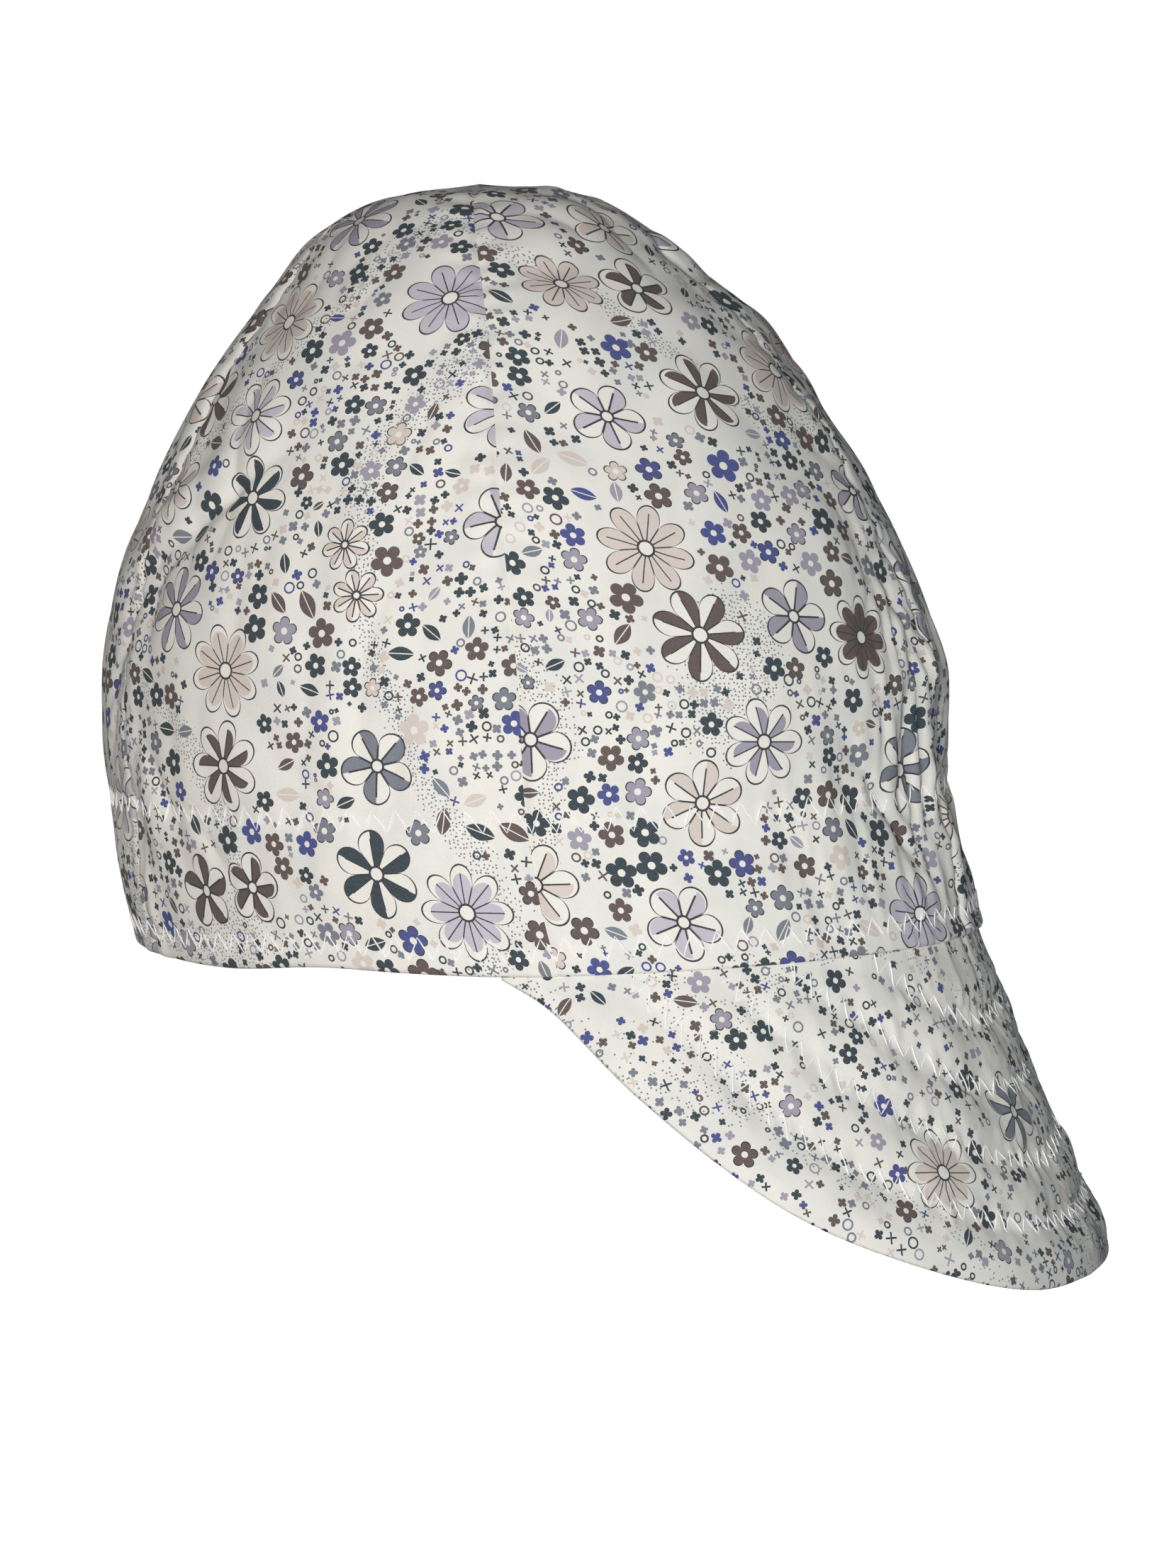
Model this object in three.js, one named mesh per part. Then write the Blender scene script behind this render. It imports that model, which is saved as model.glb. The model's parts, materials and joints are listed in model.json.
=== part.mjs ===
// Welding cap: a soft brimmed cap of printed cotton, in the form that a head gives it.
// Millimetres, +Z up. The origin is the middle of the head opening, in the plane of the hem.
// The bill points to -Y, so the wearer's right is -X. Angles go round the crown from the
// front middle, 0 degrees, to the wearer's left, 90 degrees, and on to the back, 180 degrees.
import * as THREE from 'three';

// Crown sizes
const hemLength = 204;
const hemWidth = 167;
const crownHeight = 175;
const clothThickness = 1.2;
const gorePuffDepth = 1.4;
const foldDepth = 2.6;

// Turned-up hem, a band inside the crown
const bandDepth = 38;
const bandThickness = 1.2;

// Bill
const billLength = 82;
const billSpan = 158;
const billThickness = 3.8;
const billRootThickness = 1.6;
const billRimThickness = 1.8;
const billEdgeRoll = 6;
const billSwell = 11;
const billTongue = 9;
const billDroopFront = 71.2;
const billDroopSide = 66;
const billCurl = 3;
const billSplay = 0.82;

// Room left between pieces that are sewn together
const gap = 0.3;
const crownEyeRadius = 0.9;

// Where the band steps in over the bill's tongue: how far past the tongue's top and ends the
// step starts, and how long it is
const stepStart = 2;
const stepLength = 12;

// Steps of the facets
const goreColumns = 14;
const crownRows = 20;
const topCrowding = 0.06;
const billColumns = 44;
const billRows = 10;

// The crown from its hem up. rise is a share of crownHeight and reach a share of the hem's half
// length. broad is how much broader the level is for its length than the hem is. lean is how far
// the level lies to the back, as a share of the hem's half length.
const crownLevels = [
  { rise: 0.000, reach: 1.000, broad: 1.000, lean: 0.000 },
  { rise: 0.100, reach: 1.000, broad: 1.002, lean: 0.043 },
  { rise: 0.200, reach: 0.994, broad: 1.008, lean: 0.066 },
  { rise: 0.300, reach: 0.996, broad: 1.009, lean: 0.071 },
  { rise: 0.400, reach: 0.972, broad: 1.013, lean: 0.078 },
  { rise: 0.500, reach: 0.913, broad: 1.027, lean: 0.088 },
  { rise: 0.600, reach: 0.836, broad: 1.045, lean: 0.096 },
  { rise: 0.700, reach: 0.738, broad: 1.070, lean: 0.100 },
  { rise: 0.800, reach: 0.618, broad: 1.105, lean: 0.105 },
  { rise: 0.870, reach: 0.504, broad: 1.140, lean: 0.116 },
  { rise: 0.930, reach: 0.396, broad: 1.165, lean: 0.130 },
  { rise: 0.975, reach: 0.262, broad: 1.185, lean: 0.138 },
  { rise: 1.000, reach: 0.000, broad: 1.190, lean: 0.140 },
];

// The seams between the gores, by their place round the crown in degrees.
const goreSeams = [
  { name: 'front', angle: 0 },
  { name: 'left side', angle: 71.5 },
  { name: 'left back', angle: 140 },
  { name: 'right back', angle: 220 },
  { name: 'right side', angle: 288.5 },
];

// How much of gorePuffDepth a gore stands out halfway between its seams, from the hem to the top.
const puffLevels = [
  { along: 0.00, puff: 0.00 },
  { along: 0.20, puff: 0.25 },
  { along: 0.50, puff: 1.00 },
  { along: 0.80, puff: 1.00 },
  { along: 1.00, puff: 0.00 },
];

// Folds and dents of the worn cloth. angle is the place round the crown and along its place up
// the cloth, as a share. length and width are shares of crownHeight. turn leans the fold from
// upright, in degrees, with the top towards the larger angle. depth is a share of foldDepth,
// below zero for a dent.
const folds = [
  { name: 'right back sweep', angle: 229, along: 0.40, length: 0.36, width: 0.040, turn: 46, depth: -0.60 },
  { name: 'right back roll', angle: 222, along: 0.45, length: 0.30, width: 0.045, turn: 44, depth: 0.35 },
  { name: 'left back sweep', angle: 134, along: 0.44, length: 0.30, width: 0.045, turn: -40, depth: -0.50 },
  { name: 'right nape tuck', angle: 223, along: 0.12, length: 0.26, width: 0.031, turn: -22, depth: -0.60 },
  { name: 'right nape roll', angle: 229, along: 0.13, length: 0.22, width: 0.031, turn: -22, depth: 0.35 },
  { name: 'left nape tuck', angle: 146, along: 0.14, length: 0.22, width: 0.030, turn: 20, depth: -0.50 },
  { name: 'right temple', angle: 346, along: 0.11, length: 0.17, width: 0.030, turn: -40, depth: -0.75 },
  { name: 'right temple roll', angle: 340, along: 0.13, length: 0.17, width: 0.031, turn: -36, depth: 0.35 },
  { name: 'left temple', angle: 22, along: 0.13, length: 0.17, width: 0.031, turn: 34, depth: -0.60 },
  { name: 'right brow', angle: 351, along: 0.22, length: 0.24, width: 0.030, turn: 6, depth: -0.55 },
  { name: 'brow roll', angle: 357, along: 0.18, length: 0.26, width: 0.030, turn: -4, depth: 0.45 },
  { name: 'left brow', angle: 6, along: 0.20, length: 0.24, width: 0.030, turn: -10, depth: -0.50 },
  { name: 'brow bulge', angle: 358, along: 0.28, length: 0.08, width: 0.180, turn: 0, depth: 0.55 },
  { name: 'top dent', angle: 206, along: 0.82, length: 0.12, width: 0.080, turn: 30, depth: -0.75 },
  { name: 'top ripple', angle: 356, along: 0.78, length: 0.05, width: 0.110, turn: 10, depth: -0.50 },
  { name: 'left top ripple', angle: 12, along: 0.64, length: 0.06, width: 0.120, turn: -8, depth: -0.45 },
];

// The bill from its front middle to its ends. side is a share of half billSpan and length a
// share of billLength.
const billOutline = [
  { side: 0.00, length: 1.000 },
  { side: 0.20, length: 0.980 },
  { side: 0.40, length: 0.866 },
  { side: 0.60, length: 0.678 },
  { side: 0.80, length: 0.350 },
  { side: 0.93, length: 0.110 },
  { side: 1.00, length: 0.030 },
];

const radians = THREE.MathUtils.degToRad;
const smooth = THREE.MathUtils.smoothstep;
const halfLength = hemLength / 2;
const halfWidth = hemWidth / 2;

// A smooth curve through one column of a table.
function column(table, key, value) {
  const places = table.map((row) => row[key]);
  const values = table.map((row) => row[value]);
  const curve = new THREE.CubicInterpolant(places, values, 1);
  return (place) => curve.evaluate(place)[0];
}

const puffAt = column(puffLevels, 'along', 'puff');
const billLengthAt = column(billOutline, 'side', 'length');
const broadAt = column(crownLevels, 'rise', 'broad');

// The meridian holds the level's mean radius in x, its height in y and its shift to the back in z.
const meanRadius = (halfLength + halfWidth) / 2;
const meridian = new THREE.CatmullRomCurve3(
  crownLevels.map((level) => new THREE.Vector3(
    level.reach * meanRadius,
    level.rise * crownHeight,
    level.lean * halfLength,
  )),
  false,
  'centripetal',
);
const meridianLength = meridian.getLength();

// Half length, half width, height and shift to the back of the crown at a place up the cloth.
function crownLevel(along) {
  const point = meridian.getPointAt(THREE.MathUtils.clamp(along, 0, 1));
  const reach = point.x / meanRadius;
  return {
    long: halfLength * reach,
    wide: halfWidth * reach * broadAt(point.y / crownHeight),
    height: point.y,
    back: point.z,
  };
}

// Where each gore starts and ends.
const seams = [...goreSeams.map((seam) => seam.angle), 360];
const gores = goreSeams.map((_, index) => index);

function smoothCrown(angle, along) {
  const level = crownLevel(along);
  return new THREE.Vector3(
    level.wide * Math.sin(radians(angle)),
    level.back - level.long * Math.cos(radians(angle)),
    level.height,
  );
}

// Outward direction of the crown. It is level at the hem, so that the hem's edge is square.
function crownNormal(angle, along) {
  const turn = 0.5;
  const climb = 0.004;
  const around = smoothCrown(angle + turn, along).sub(smoothCrown(angle - turn, along));
  const low = Math.max(0, along - climb);
  const upward = smoothCrown(angle, low + 2 * climb).sub(smoothCrown(angle, low));
  const normal = around.cross(upward).normalize();
  normal.z *= smooth(along * meridianLength, 0, billTongue);
  return normal.normalize();
}

// How far one fold moves the cloth in or out.
function foldRelief(fold, angle, along) {
  const meanTurn = radians(THREE.MathUtils.euclideanModulo(angle - fold.angle + 180, 360) - 180);
  const across = meanTurn * meanRadius;
  const upward = (along - fold.along) * meridianLength;
  const lean = radians(fold.turn);
  const alongFold = upward * Math.cos(lean) + across * Math.sin(lean);
  const acrossFold = across * Math.cos(lean) - upward * Math.sin(lean);
  const length = fold.length * crownHeight / 2;
  const width = fold.width * crownHeight;
  const fade = Math.exp(-((alongFold / length) ** 2) - (acrossFold / width) ** 2);
  return fold.depth * foldDepth * fade;
}

function relief(angle, along) {
  const round = THREE.MathUtils.euclideanModulo(angle, 360);
  const gore = Math.max(1, seams.findIndex((seam) => seam >= round));
  const share = (round - seams[gore - 1]) / (seams[gore] - seams[gore - 1]);
  const puff = gorePuffDepth * puffAt(along) * Math.sin(Math.PI * share);
  const hemHold = smooth(along * meridianLength, billTongue, bandDepth);
  const moved = folds.reduce((sum, fold) => sum + foldRelief(fold, angle, along), 0);
  return puff + moved * hemHold;
}

// A point of the crown at a depth under its outer face.
function crownPoint(angle, along, depth) {
  const normal = crownNormal(angle, along);
  return smoothCrown(angle, along).addScaledVector(normal, relief(angle, along) - depth);
}

// A closed wall from two grids of points, the outer face first. Rows run upward and columns
// to the wearer's left. A wall that goes all round has no ends.
function wall(outer, inner, closedRound = false) {
  const rows = outer.length;
  const columns = outer[0].length;
  const positions = [];
  const indices = [];
  for (const face of [outer, inner]) {
    for (const row of face) {
      for (const point of row) positions.push(point.x, point.y, point.z);
    }
  }
  const at = (face, row, place) => face * rows * columns + row * columns + (place % columns);
  const quad = (a, b, c, d) => indices.push(a, b, c, a, c, d);
  const last = closedRound ? columns : columns - 1;
  for (let row = 0; row < rows - 1; row += 1) {
    for (let place = 0; place < last; place += 1) {
      quad(at(0, row, place), at(0, row, place + 1), at(0, row + 1, place + 1), at(0, row + 1, place));
      quad(at(1, row, place), at(1, row + 1, place), at(1, row + 1, place + 1), at(1, row, place + 1));
    }
  }
  for (let place = 0; place < last; place += 1) {
    const top = rows - 1;
    quad(at(0, 0, place), at(1, 0, place), at(1, 0, place + 1), at(0, 0, place + 1));
    quad(at(0, top, place), at(0, top, place + 1), at(1, top, place + 1), at(1, top, place));
  }
  if (!closedRound) {
    for (let row = 0; row < rows - 1; row += 1) {
      const end = columns - 1;
      quad(at(0, row, 0), at(0, row + 1, 0), at(1, row + 1, 0), at(1, row, 0));
      quad(at(0, row, end), at(1, row, end), at(1, row + 1, end), at(0, row + 1, end));
    }
  }
  const geometry = new THREE.BufferGeometry();
  geometry.setAttribute('position', new THREE.Float32BufferAttribute(positions, 3));
  geometry.setIndex(indices);
  geometry.computeVertexNormals();
  return geometry;
}

// Points for each place along each row.
function grid(rows, placesOn, point) {
  return rows.map((row) => placesOn(row).map((place) => point(place, row)));
}

function evenSteps(from, to, count) {
  return Array.from({ length: count + 1 }, (_, step) => from + (to - from) * step / count);
}

// A gore's columns at one level. It stops half a gap short of the seam on each side.
function goreStations(gore, along) {
  const level = crownLevel(along);
  const seamRoom = (seam) => {
    const stretch = Math.hypot(level.wide * Math.cos(radians(seam)), level.long * Math.sin(radians(seam)));
    return THREE.MathUtils.radToDeg(gap / 2 / stretch);
  };
  const from = seams[gore];
  const to = seams[gore + 1];
  const most = (to - from) / 3;
  return evenSteps(
    from + Math.min(seamRoom(from), most),
    to - Math.min(seamRoom(to), most),
    goreColumns,
  );
}

// Levels up the cloth. They draw together near the top, where the crown turns over.
const topAlong = 1 - crownEyeRadius / meridianLength;
const crownSteps = evenSteps(0, 1, crownRows).map(
  (step) => topAlong * (step + topCrowding * Math.sin(Math.PI * step)),
);

function goreGeometry(gore) {
  const stations = (along) => goreStations(gore, along);
  const outer = grid(crownSteps, stations, (angle, along) => crownPoint(angle, along, 0));
  const inner = grid(crownSteps, stations, (angle, along) => crownPoint(angle, along, clothThickness));
  return wall(outer, inner);
}

// How far the band lies under the crown's outer face: it makes room for the bill's tongue.
function bandCover(angle, along) {
  const fromFront = Math.abs(THREE.MathUtils.euclideanModulo(angle + 180, 360) - 180);
  const pastEnd = radians(fromFront - billSpan / 2) * meanRadius;
  const pastTop = along * meridianLength - billTongue;
  const billShare = 1 - smooth(pastEnd, stepStart, stepStart + stepLength);
  const tongueShare = 1 - smooth(pastTop, stepStart, stepStart + stepLength);
  return clothThickness + gap + (billRootThickness + gap) * billShare * tongueShare;
}

function bandGeometry() {
  const bandTop = bandDepth / meridianLength;
  const tongueTop = (billTongue + stepStart) / meridianLength;
  const between = crownSteps.filter((along) => along > tongueTop && along < bandTop);
  const levels = [0, tongueTop, ...between, bandTop];
  const stations = () => gores.flatMap((gore) => goreStations(gore, 0));
  const outer = grid(levels, stations, (angle, along) => crownPoint(angle, along, bandCover(angle, along)));
  const inner = grid(
    levels,
    stations,
    (angle, along) => crownPoint(angle, along, bandCover(angle, along) + bandThickness),
  );
  return wall(outer, inner, true);
}

// The bill's outer face. down is the length of cloth below the hem, or above it if negative.
function billFace(angle, down) {
  const cover = clothThickness + gap;
  if (down <= 0) return crownPoint(angle, -down / meridianLength, cover);
  const side = Math.abs(angle) / (billSpan / 2);
  const share = down / billLength;
  const droop = THREE.MathUtils.lerp(billDroopFront, billDroopSide, side ** 1.5) - billCurl * share;
  const outward = Math.atan2(Math.sin(radians(angle)) / halfWidth, Math.cos(radians(angle)) / halfLength);
  const heading = outward * billSplay;
  const forward = down * Math.cos(radians(droop));
  return crownPoint(angle, 0, cover).add(new THREE.Vector3(
    forward * Math.sin(heading),
    -forward * Math.cos(heading),
    -down * Math.sin(radians(droop)),
  ));
}

// Outward direction of the bill, taken over a short stretch of it.
function billNormal(angle, down) {
  const reach = billThickness;
  const turn = 1;
  const around = billFace(angle + turn, down).sub(billFace(angle - turn, down));
  const upward = billFace(angle, down - reach).sub(billFace(angle, down + reach));
  return around.cross(upward).normalize();
}

// The padding swells below the hem and thins again at the rim, from both faces alike.
function billThicknessAt(down, fromRim) {
  const swollen = THREE.MathUtils.lerp(billRootThickness, billThickness, smooth(down, 0, billSwell));
  const thinned = Math.min(swollen, billRimThickness);
  return THREE.MathUtils.lerp(thinned, swollen, smooth(fromRim, 0, billEdgeRoll));
}

// A point of the bill, on its outer face or its inner one. level runs from 1 at the rim to 0 at
// the hem and on to -1 at the top of the tongue.
function billPoint(angle, level, inside) {
  const length = billLength * billLengthAt(Math.abs(angle) / (billSpan / 2));
  if (level <= 0) {
    const along = -level * billTongue / meridianLength;
    return crownPoint(angle, along, clothThickness + gap + (inside ? billRootThickness : 0));
  }
  const down = level * length;
  const full = billThicknessAt(down, billEdgeRoll);
  const thickness = billThicknessAt(down, length - down);
  const rolled = (full - thickness) / 2;
  return billFace(angle, down).addScaledVector(billNormal(angle, down), -rolled - (inside ? thickness : 0));
}

function billGeometry() {
  const stations = () => evenSteps(-billSpan / 2, billSpan / 2, billColumns);
  const rim = [1, 0.985, 0.95];
  const middle = evenSteps(0.88, 0.06, billRows - 1);
  const tongue = [0, -0.5, -1];
  const levels = [...rim, ...middle, ...tongue];
  return wall(
    grid(levels, stations, (angle, level) => billPoint(angle, level, false)),
    grid(levels, stations, (angle, level) => billPoint(angle, level, true)),
  );
}

const cap = new THREE.Group();

const crownCotton = new THREE.MeshStandardMaterial({ color: '#e4e0da', roughness: 0.86, metalness: 0 });
const billCotton = new THREE.MeshStandardMaterial({ color: '#e0e2e2', roughness: 0.86, metalness: 0 });
const bandCotton = new THREE.MeshStandardMaterial({ color: '#d9d5cf', roughness: 0.9, metalness: 0 });

function addPiece(name, geometry, material) {
  const piece = new THREE.Mesh(geometry, material);
  piece.name = name;
  cap.add(piece);
}

// Gores are numbered from the front middle seam round to the wearer's left.
for (const gore of gores) {
  addPiece(`crown_gore_${gore + 1}`, goreGeometry(gore), crownCotton);
}
addPiece('hem_band', bandGeometry(), bandCotton);
addPiece('bill', billGeometry(), billCotton);

export default cap;
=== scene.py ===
"""The looks of a soft welding cap of printed cotton, sewn round its packed model.

Everything is in metres in the model's own frame. The origin is the middle of the head opening,
in the plane of the hem. The bill points to -Y, so the wearer's right is -X. Angles go round the
crown from the front middle, 0 degrees, to the wearer's left, 90 degrees, and on to the back.
"""

import functools
import json
import math

import bmesh
import bpy
import numpy as np
from mathutils import Matrix, Vector

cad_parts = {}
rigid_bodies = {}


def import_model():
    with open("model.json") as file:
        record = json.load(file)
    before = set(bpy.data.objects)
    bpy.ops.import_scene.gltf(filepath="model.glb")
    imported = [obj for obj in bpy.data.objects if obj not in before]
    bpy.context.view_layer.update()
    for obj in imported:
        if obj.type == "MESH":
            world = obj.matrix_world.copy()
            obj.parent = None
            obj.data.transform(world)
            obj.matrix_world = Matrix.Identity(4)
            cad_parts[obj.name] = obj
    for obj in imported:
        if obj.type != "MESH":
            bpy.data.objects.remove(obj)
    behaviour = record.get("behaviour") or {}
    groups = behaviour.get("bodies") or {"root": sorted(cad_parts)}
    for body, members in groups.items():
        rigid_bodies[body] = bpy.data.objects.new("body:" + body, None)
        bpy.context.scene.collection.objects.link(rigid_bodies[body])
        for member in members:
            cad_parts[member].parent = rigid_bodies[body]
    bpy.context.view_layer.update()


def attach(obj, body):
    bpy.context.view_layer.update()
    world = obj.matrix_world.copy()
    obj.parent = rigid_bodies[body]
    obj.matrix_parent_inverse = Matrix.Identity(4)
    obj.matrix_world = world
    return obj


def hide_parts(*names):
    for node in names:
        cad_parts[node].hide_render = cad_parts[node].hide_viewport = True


bl_info = {
    "name": "Welding cap",
    "version": (1, 0, 0),
    "blender": (4, 5, 0),
    "location": "View3D > Sidebar > Welding cap",
    "description": "Sews a printed cotton welding cap round its packed model",
    "category": "Object",
}

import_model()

MM = 0.001
CLOTH_UV = "cloth_mm"


def table(columns, *rows):
    """A short table as named columns of numbers."""
    return dict(zip(columns.split(), np.array(rows, float).T))


# The crown from its hem up. rise is a share of the crown's height and reach a share of the hem's
# half length. broad is how much broader the level is for its length than the hem is. lean is how
# far the level lies to the back, as a share of the hem's half length.
CROWN_LEVELS = table(
    "rise reach broad lean",
    (0.000, 1.000, 1.000, 0.000),
    (0.100, 1.000, 1.002, 0.043),
    (0.200, 0.994, 1.008, 0.066),
    (0.300, 0.996, 1.009, 0.071),
    (0.400, 0.972, 1.013, 0.078),
    (0.500, 0.913, 1.027, 0.088),
    (0.600, 0.836, 1.045, 0.096),
    (0.700, 0.738, 1.070, 0.100),
    (0.800, 0.618, 1.105, 0.105),
    (0.870, 0.504, 1.140, 0.116),
    (0.930, 0.396, 1.165, 0.130),
    (0.975, 0.262, 1.185, 0.138),
    (1.000, 0.000, 1.190, 0.140),
)

# The seams between the gores by their place round the crown, in degrees: front, left side,
# left back, right back and right side.
SEAMS = np.array([0.0, 71.5, 140.0, 220.0, 288.5])

# How much of the puff a gore stands out halfway between its seams, from the hem to the top.
PUFF_LEVELS = table("along puff", (0, 0), (0.2, 0.25), (0.5, 1), (0.8, 1), (1, 0))

# Folds and dents. angle is the place round the crown and along its place up the cloth, as a
# share. length and width are shares of the crown's height. turn leans the fold from upright, in
# degrees, with the top towards the larger angle. depth is a share of the fold depth.
FOLDS = table(
    "angle along length width turn depth",
    (229, 0.40, 0.36, 0.040, 46, -0.60),  # back sweep, right
    (222, 0.45, 0.30, 0.045, 44, 0.35),  # back roll, right
    (134, 0.44, 0.30, 0.045, -40, -0.50),  # back sweep, left
    (223, 0.12, 0.26, 0.031, -22, -0.60),  # nape tuck, right
    (229, 0.13, 0.22, 0.031, -22, 0.35),  # nape roll, right
    (146, 0.14, 0.22, 0.030, 20, -0.50),  # nape tuck, left
    (346, 0.11, 0.17, 0.030, -40, -0.75),  # temple crease, right
    (340, 0.13, 0.17, 0.031, -36, 0.35),  # temple roll, right
    (22, 0.13, 0.17, 0.031, 34, -0.60),  # temple crease, left
    (351, 0.22, 0.24, 0.030, 6, -0.55),  # forehead crease, right
    (357, 0.18, 0.26, 0.030, -4, 0.45),  # forehead roll
    (6, 0.20, 0.24, 0.030, -10, -0.50),  # forehead crease, left
    (358, 0.28, 0.08, 0.180, 0, 0.55),  # brow bulge
    (206, 0.82, 0.12, 0.080, 30, -0.75),  # top dent, back right
    (356, 0.78, 0.05, 0.110, 10, -0.50),  # top ripple, front
    (12, 0.64, 0.06, 0.120, -8, -0.45),  # top ripple, front left
)

# Small creases on top of those, in the same columns.
CREASES = table(
    "angle along length width turn depth",
    (347, 0.118, 0.15, 0.009, -40, -0.34),
    (342, 0.165, 0.16, 0.010, -38, -0.30),
    (338, 0.150, 0.12, 0.009, -44, -0.20),
    (350, 0.130, 0.14, 0.010, -30, -0.24),
    (348, 0.310, 0.14, 0.011, 12, -0.20),
    (353, 0.400, 0.12, 0.010, -14, -0.18),
    (9, 0.330, 0.14, 0.011, 16, -0.22),
    (18, 0.190, 0.14, 0.010, 38, -0.24),
    (26, 0.160, 0.12, 0.009, 42, -0.20),
    (232, 0.455, 0.34, 0.013, 58, -0.46),
    (226, 0.405, 0.26, 0.011, 54, -0.36),
    (229, 0.495, 0.30, 0.024, 58, 0.24),
    (217, 0.330, 0.22, 0.011, 30, -0.32),
    (214, 0.250, 0.16, 0.010, 20, -0.20),
    (231, 0.180, 0.14, 0.010, -30, -0.22),
    (242, 0.115, 0.10, 0.009, -36, -0.18),
    (128, 0.370, 0.20, 0.011, -46, -0.22),
    (150, 0.200, 0.16, 0.010, 24, -0.22),
    (300, 0.240, 0.13, 0.010, 62, -0.14),
    (276, 0.560, 0.16, 0.012, 24, -0.14),
    (262, 0.180, 0.12, 0.010, -58, -0.14),
    (68, 0.300, 0.14, 0.011, -52, -0.16),
    (96, 0.560, 0.16, 0.012, -20, -0.14),
)

# Broad shallow dents of the worn crown, in the same columns.
DENTS = table(
    "angle along length width turn depth",
    (201, 0.680, 0.20, 0.21, 0, -0.68),
    (196, 0.825, 0.10, 0.16, 0, 0.18),
    (205, 0.900, 0.08, 0.20, 0, -0.30),
    (30, 0.785, 0.20, 0.21, 0, -0.58),
    (19, 0.555, 0.12, 0.16, 0, -0.45),
    (15, 0.185, 0.32, 0.13, 0, -0.40),
)

# How far the hem's edge hangs below its plane, in mm, by the place round the crown in degrees.
HEM_DROP = table(
    "angle drop",
    (0, 0.0),
    (30, 0.3),
    (62, 0.9),
    (84, 1.2),
    (100, 0.2),
    (122, 1.4),
    (150, 0.9),
    (190, 0.8),
    (222, 1.6),
    (240, 1.9),
    (256, 0.1),
    (269, 0.7),
    (280, 1.2),
    (300, 0.8),
    (330, 0.2),
    (360, 0.0),
)
# How far up from the hem that dies out, in mm.
HEM_DROP_REACH = 24

# Waves of the worn cloth: how long they are round the crown and up it, their height, in mm, and
# how sharp their creases are, from 0, round, to 1.
WRINKLES = table(
    "across upward height sharp seed",
    (66, 66, 0.34, 0.0, 11),
    (28, 34, 0.26, 0.0, 12),
    (19, 40, 0.40, 1.0, 13),
)
# Gathers that the hem's stitches draw in, in the same columns.
GATHERS = table(
    "across upward height sharp seed",
    (15, 70, 0.36, 0.0, 14),
    (8, 46, 0.34, 0.6, 15),
    (4.6, 34, 0.22, 0.8, 16),
)
# Crumples of the cloth that is drawn in beside the front seam, in the same columns.
CRUMPLES = table(
    "across upward height sharp seed",
    (5.2, 30, 0.72, 0.9, 17),
    (3.4, 17, 0.34, 0.7, 18),
)
# The shortest and the longest wave of a row, as shares of its length.
WAVE_SPREAD = (0.7, 1.5)
# A creased wave is its size times the first number, less the second: on the crown and the quilting.
CREASED = (1.6, 1.0)
QUILT_CREASED = (1.3, 0.8)

# Where the cloth turned under at a seam thins out, as shares of the allowance.
ALLOWANCE_EDGE = (0.7, 1.15)
# The puckers beside a seam, in mm: how far apart they lie along it and over what length that
# drifts, how far beside it they are highest and how far they reach from there. sway is how much
# they drift and offset how much a seam's puckers are shifted from the last one's, in radians.
PUCKERS = {"apart": 7.3, "drift": 11, "beside": 2, "reach": 6, "sway": 1.4, "offset": 2.1}
# How strongly the cloth is drawn in: round the whole hem, how much more at the front and at the
# back, and on the brow above the hem.
DRAWN = {"least": 0.32, "front": 0.95, "back": 0.475, "brow": 0.5}
# Between which places round the cap that grows, as the cosine of the angle from the front or from
# the back.
FRONT_FACING = (0.55, 0.97)
BACK_FACING = (0.45, 0.95)
# Where up the cloth the hem's gathers, the brow's and the front seam's crumples are strongest, and
# how far they reach up and down from there, in metres.
HEM_REACH = (0.020, 0.024)
BROW_REACH = (0.048, 0.026)
CRUMPLE_REACH = (0.052, 0.040)
# Where the crumples are strongest beside the front seam, to the wearer's right where it is below
# 0, and how far they reach to both sides of there, in metres.
CRUMPLE_SPREAD = (-0.008, 0.017)
# Where up the cloth the wrinkles and the creases begin and are full, in metres.
WRINKLE_START = (0, 0.030)
CREASE_START = (0.006, 0.020)
# The half length of the crown's levels between which the small relief dies out, in metres.
TOP_FADE = (0.003, 0.028)

# The bill from its front middle to its ends. side is a share of its half span and length a share
# of its length.
BILL_OUTLINE = table(
    "side length",
    (0.00, 1.000),
    (0.20, 0.980),
    (0.40, 0.866),
    (0.60, 0.672),
    (0.80, 0.337),
    (0.93, 0.082),
    (1.00, 0.008),
)
# How late the bill's droop turns from that of the front to that of the ends. 1 is evenly.
DROOP_TURN = 1.5
# How far down the bill the relief of the crown's hem runs on, in metres.
FLOW_REACH = 0.014
# The least share, squared, that is left of the bill's thickness at its very rim.
RIM_LEAST = 0.0004
# How much of the quilting's relief the underside has.
UNDER_RELIEF = 0.6
# The levels of the tongue's mesh above the hem, as shares of its height.
TONGUE_LEVELS = np.linspace(0.15, 1, 6)

# The hem's fold: the share of the gap between the layers that closes at it, over what height, in
# metres, and how round the fold and the band's upper edge are, as shares of the cloth's thickness.
HEM_CLOSING = 0.4
HEM_CLOSING_REACH = 0.002
HEM_ROUND = 0.97
BAND_ROUND = 0.6

# Where each gore, the band and the bill lie on the printed cloth: across and along it in mm,
# and the turn of the cut in degrees.
CUTS = table(
    "across along turn",
    (61, 38, 2),
    (402, 95, -3),
    (183, 371, 4),
    (566, 253, -2),
    (327, 604, 3),
)
BAND_CUT = (871, 147, 0)
BILL_CUT = (709, 512, 90)
# How far from the outer cloth the cloth of the bill's underside lies on the print.
UNDERSIDE_CUT = 300

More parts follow.
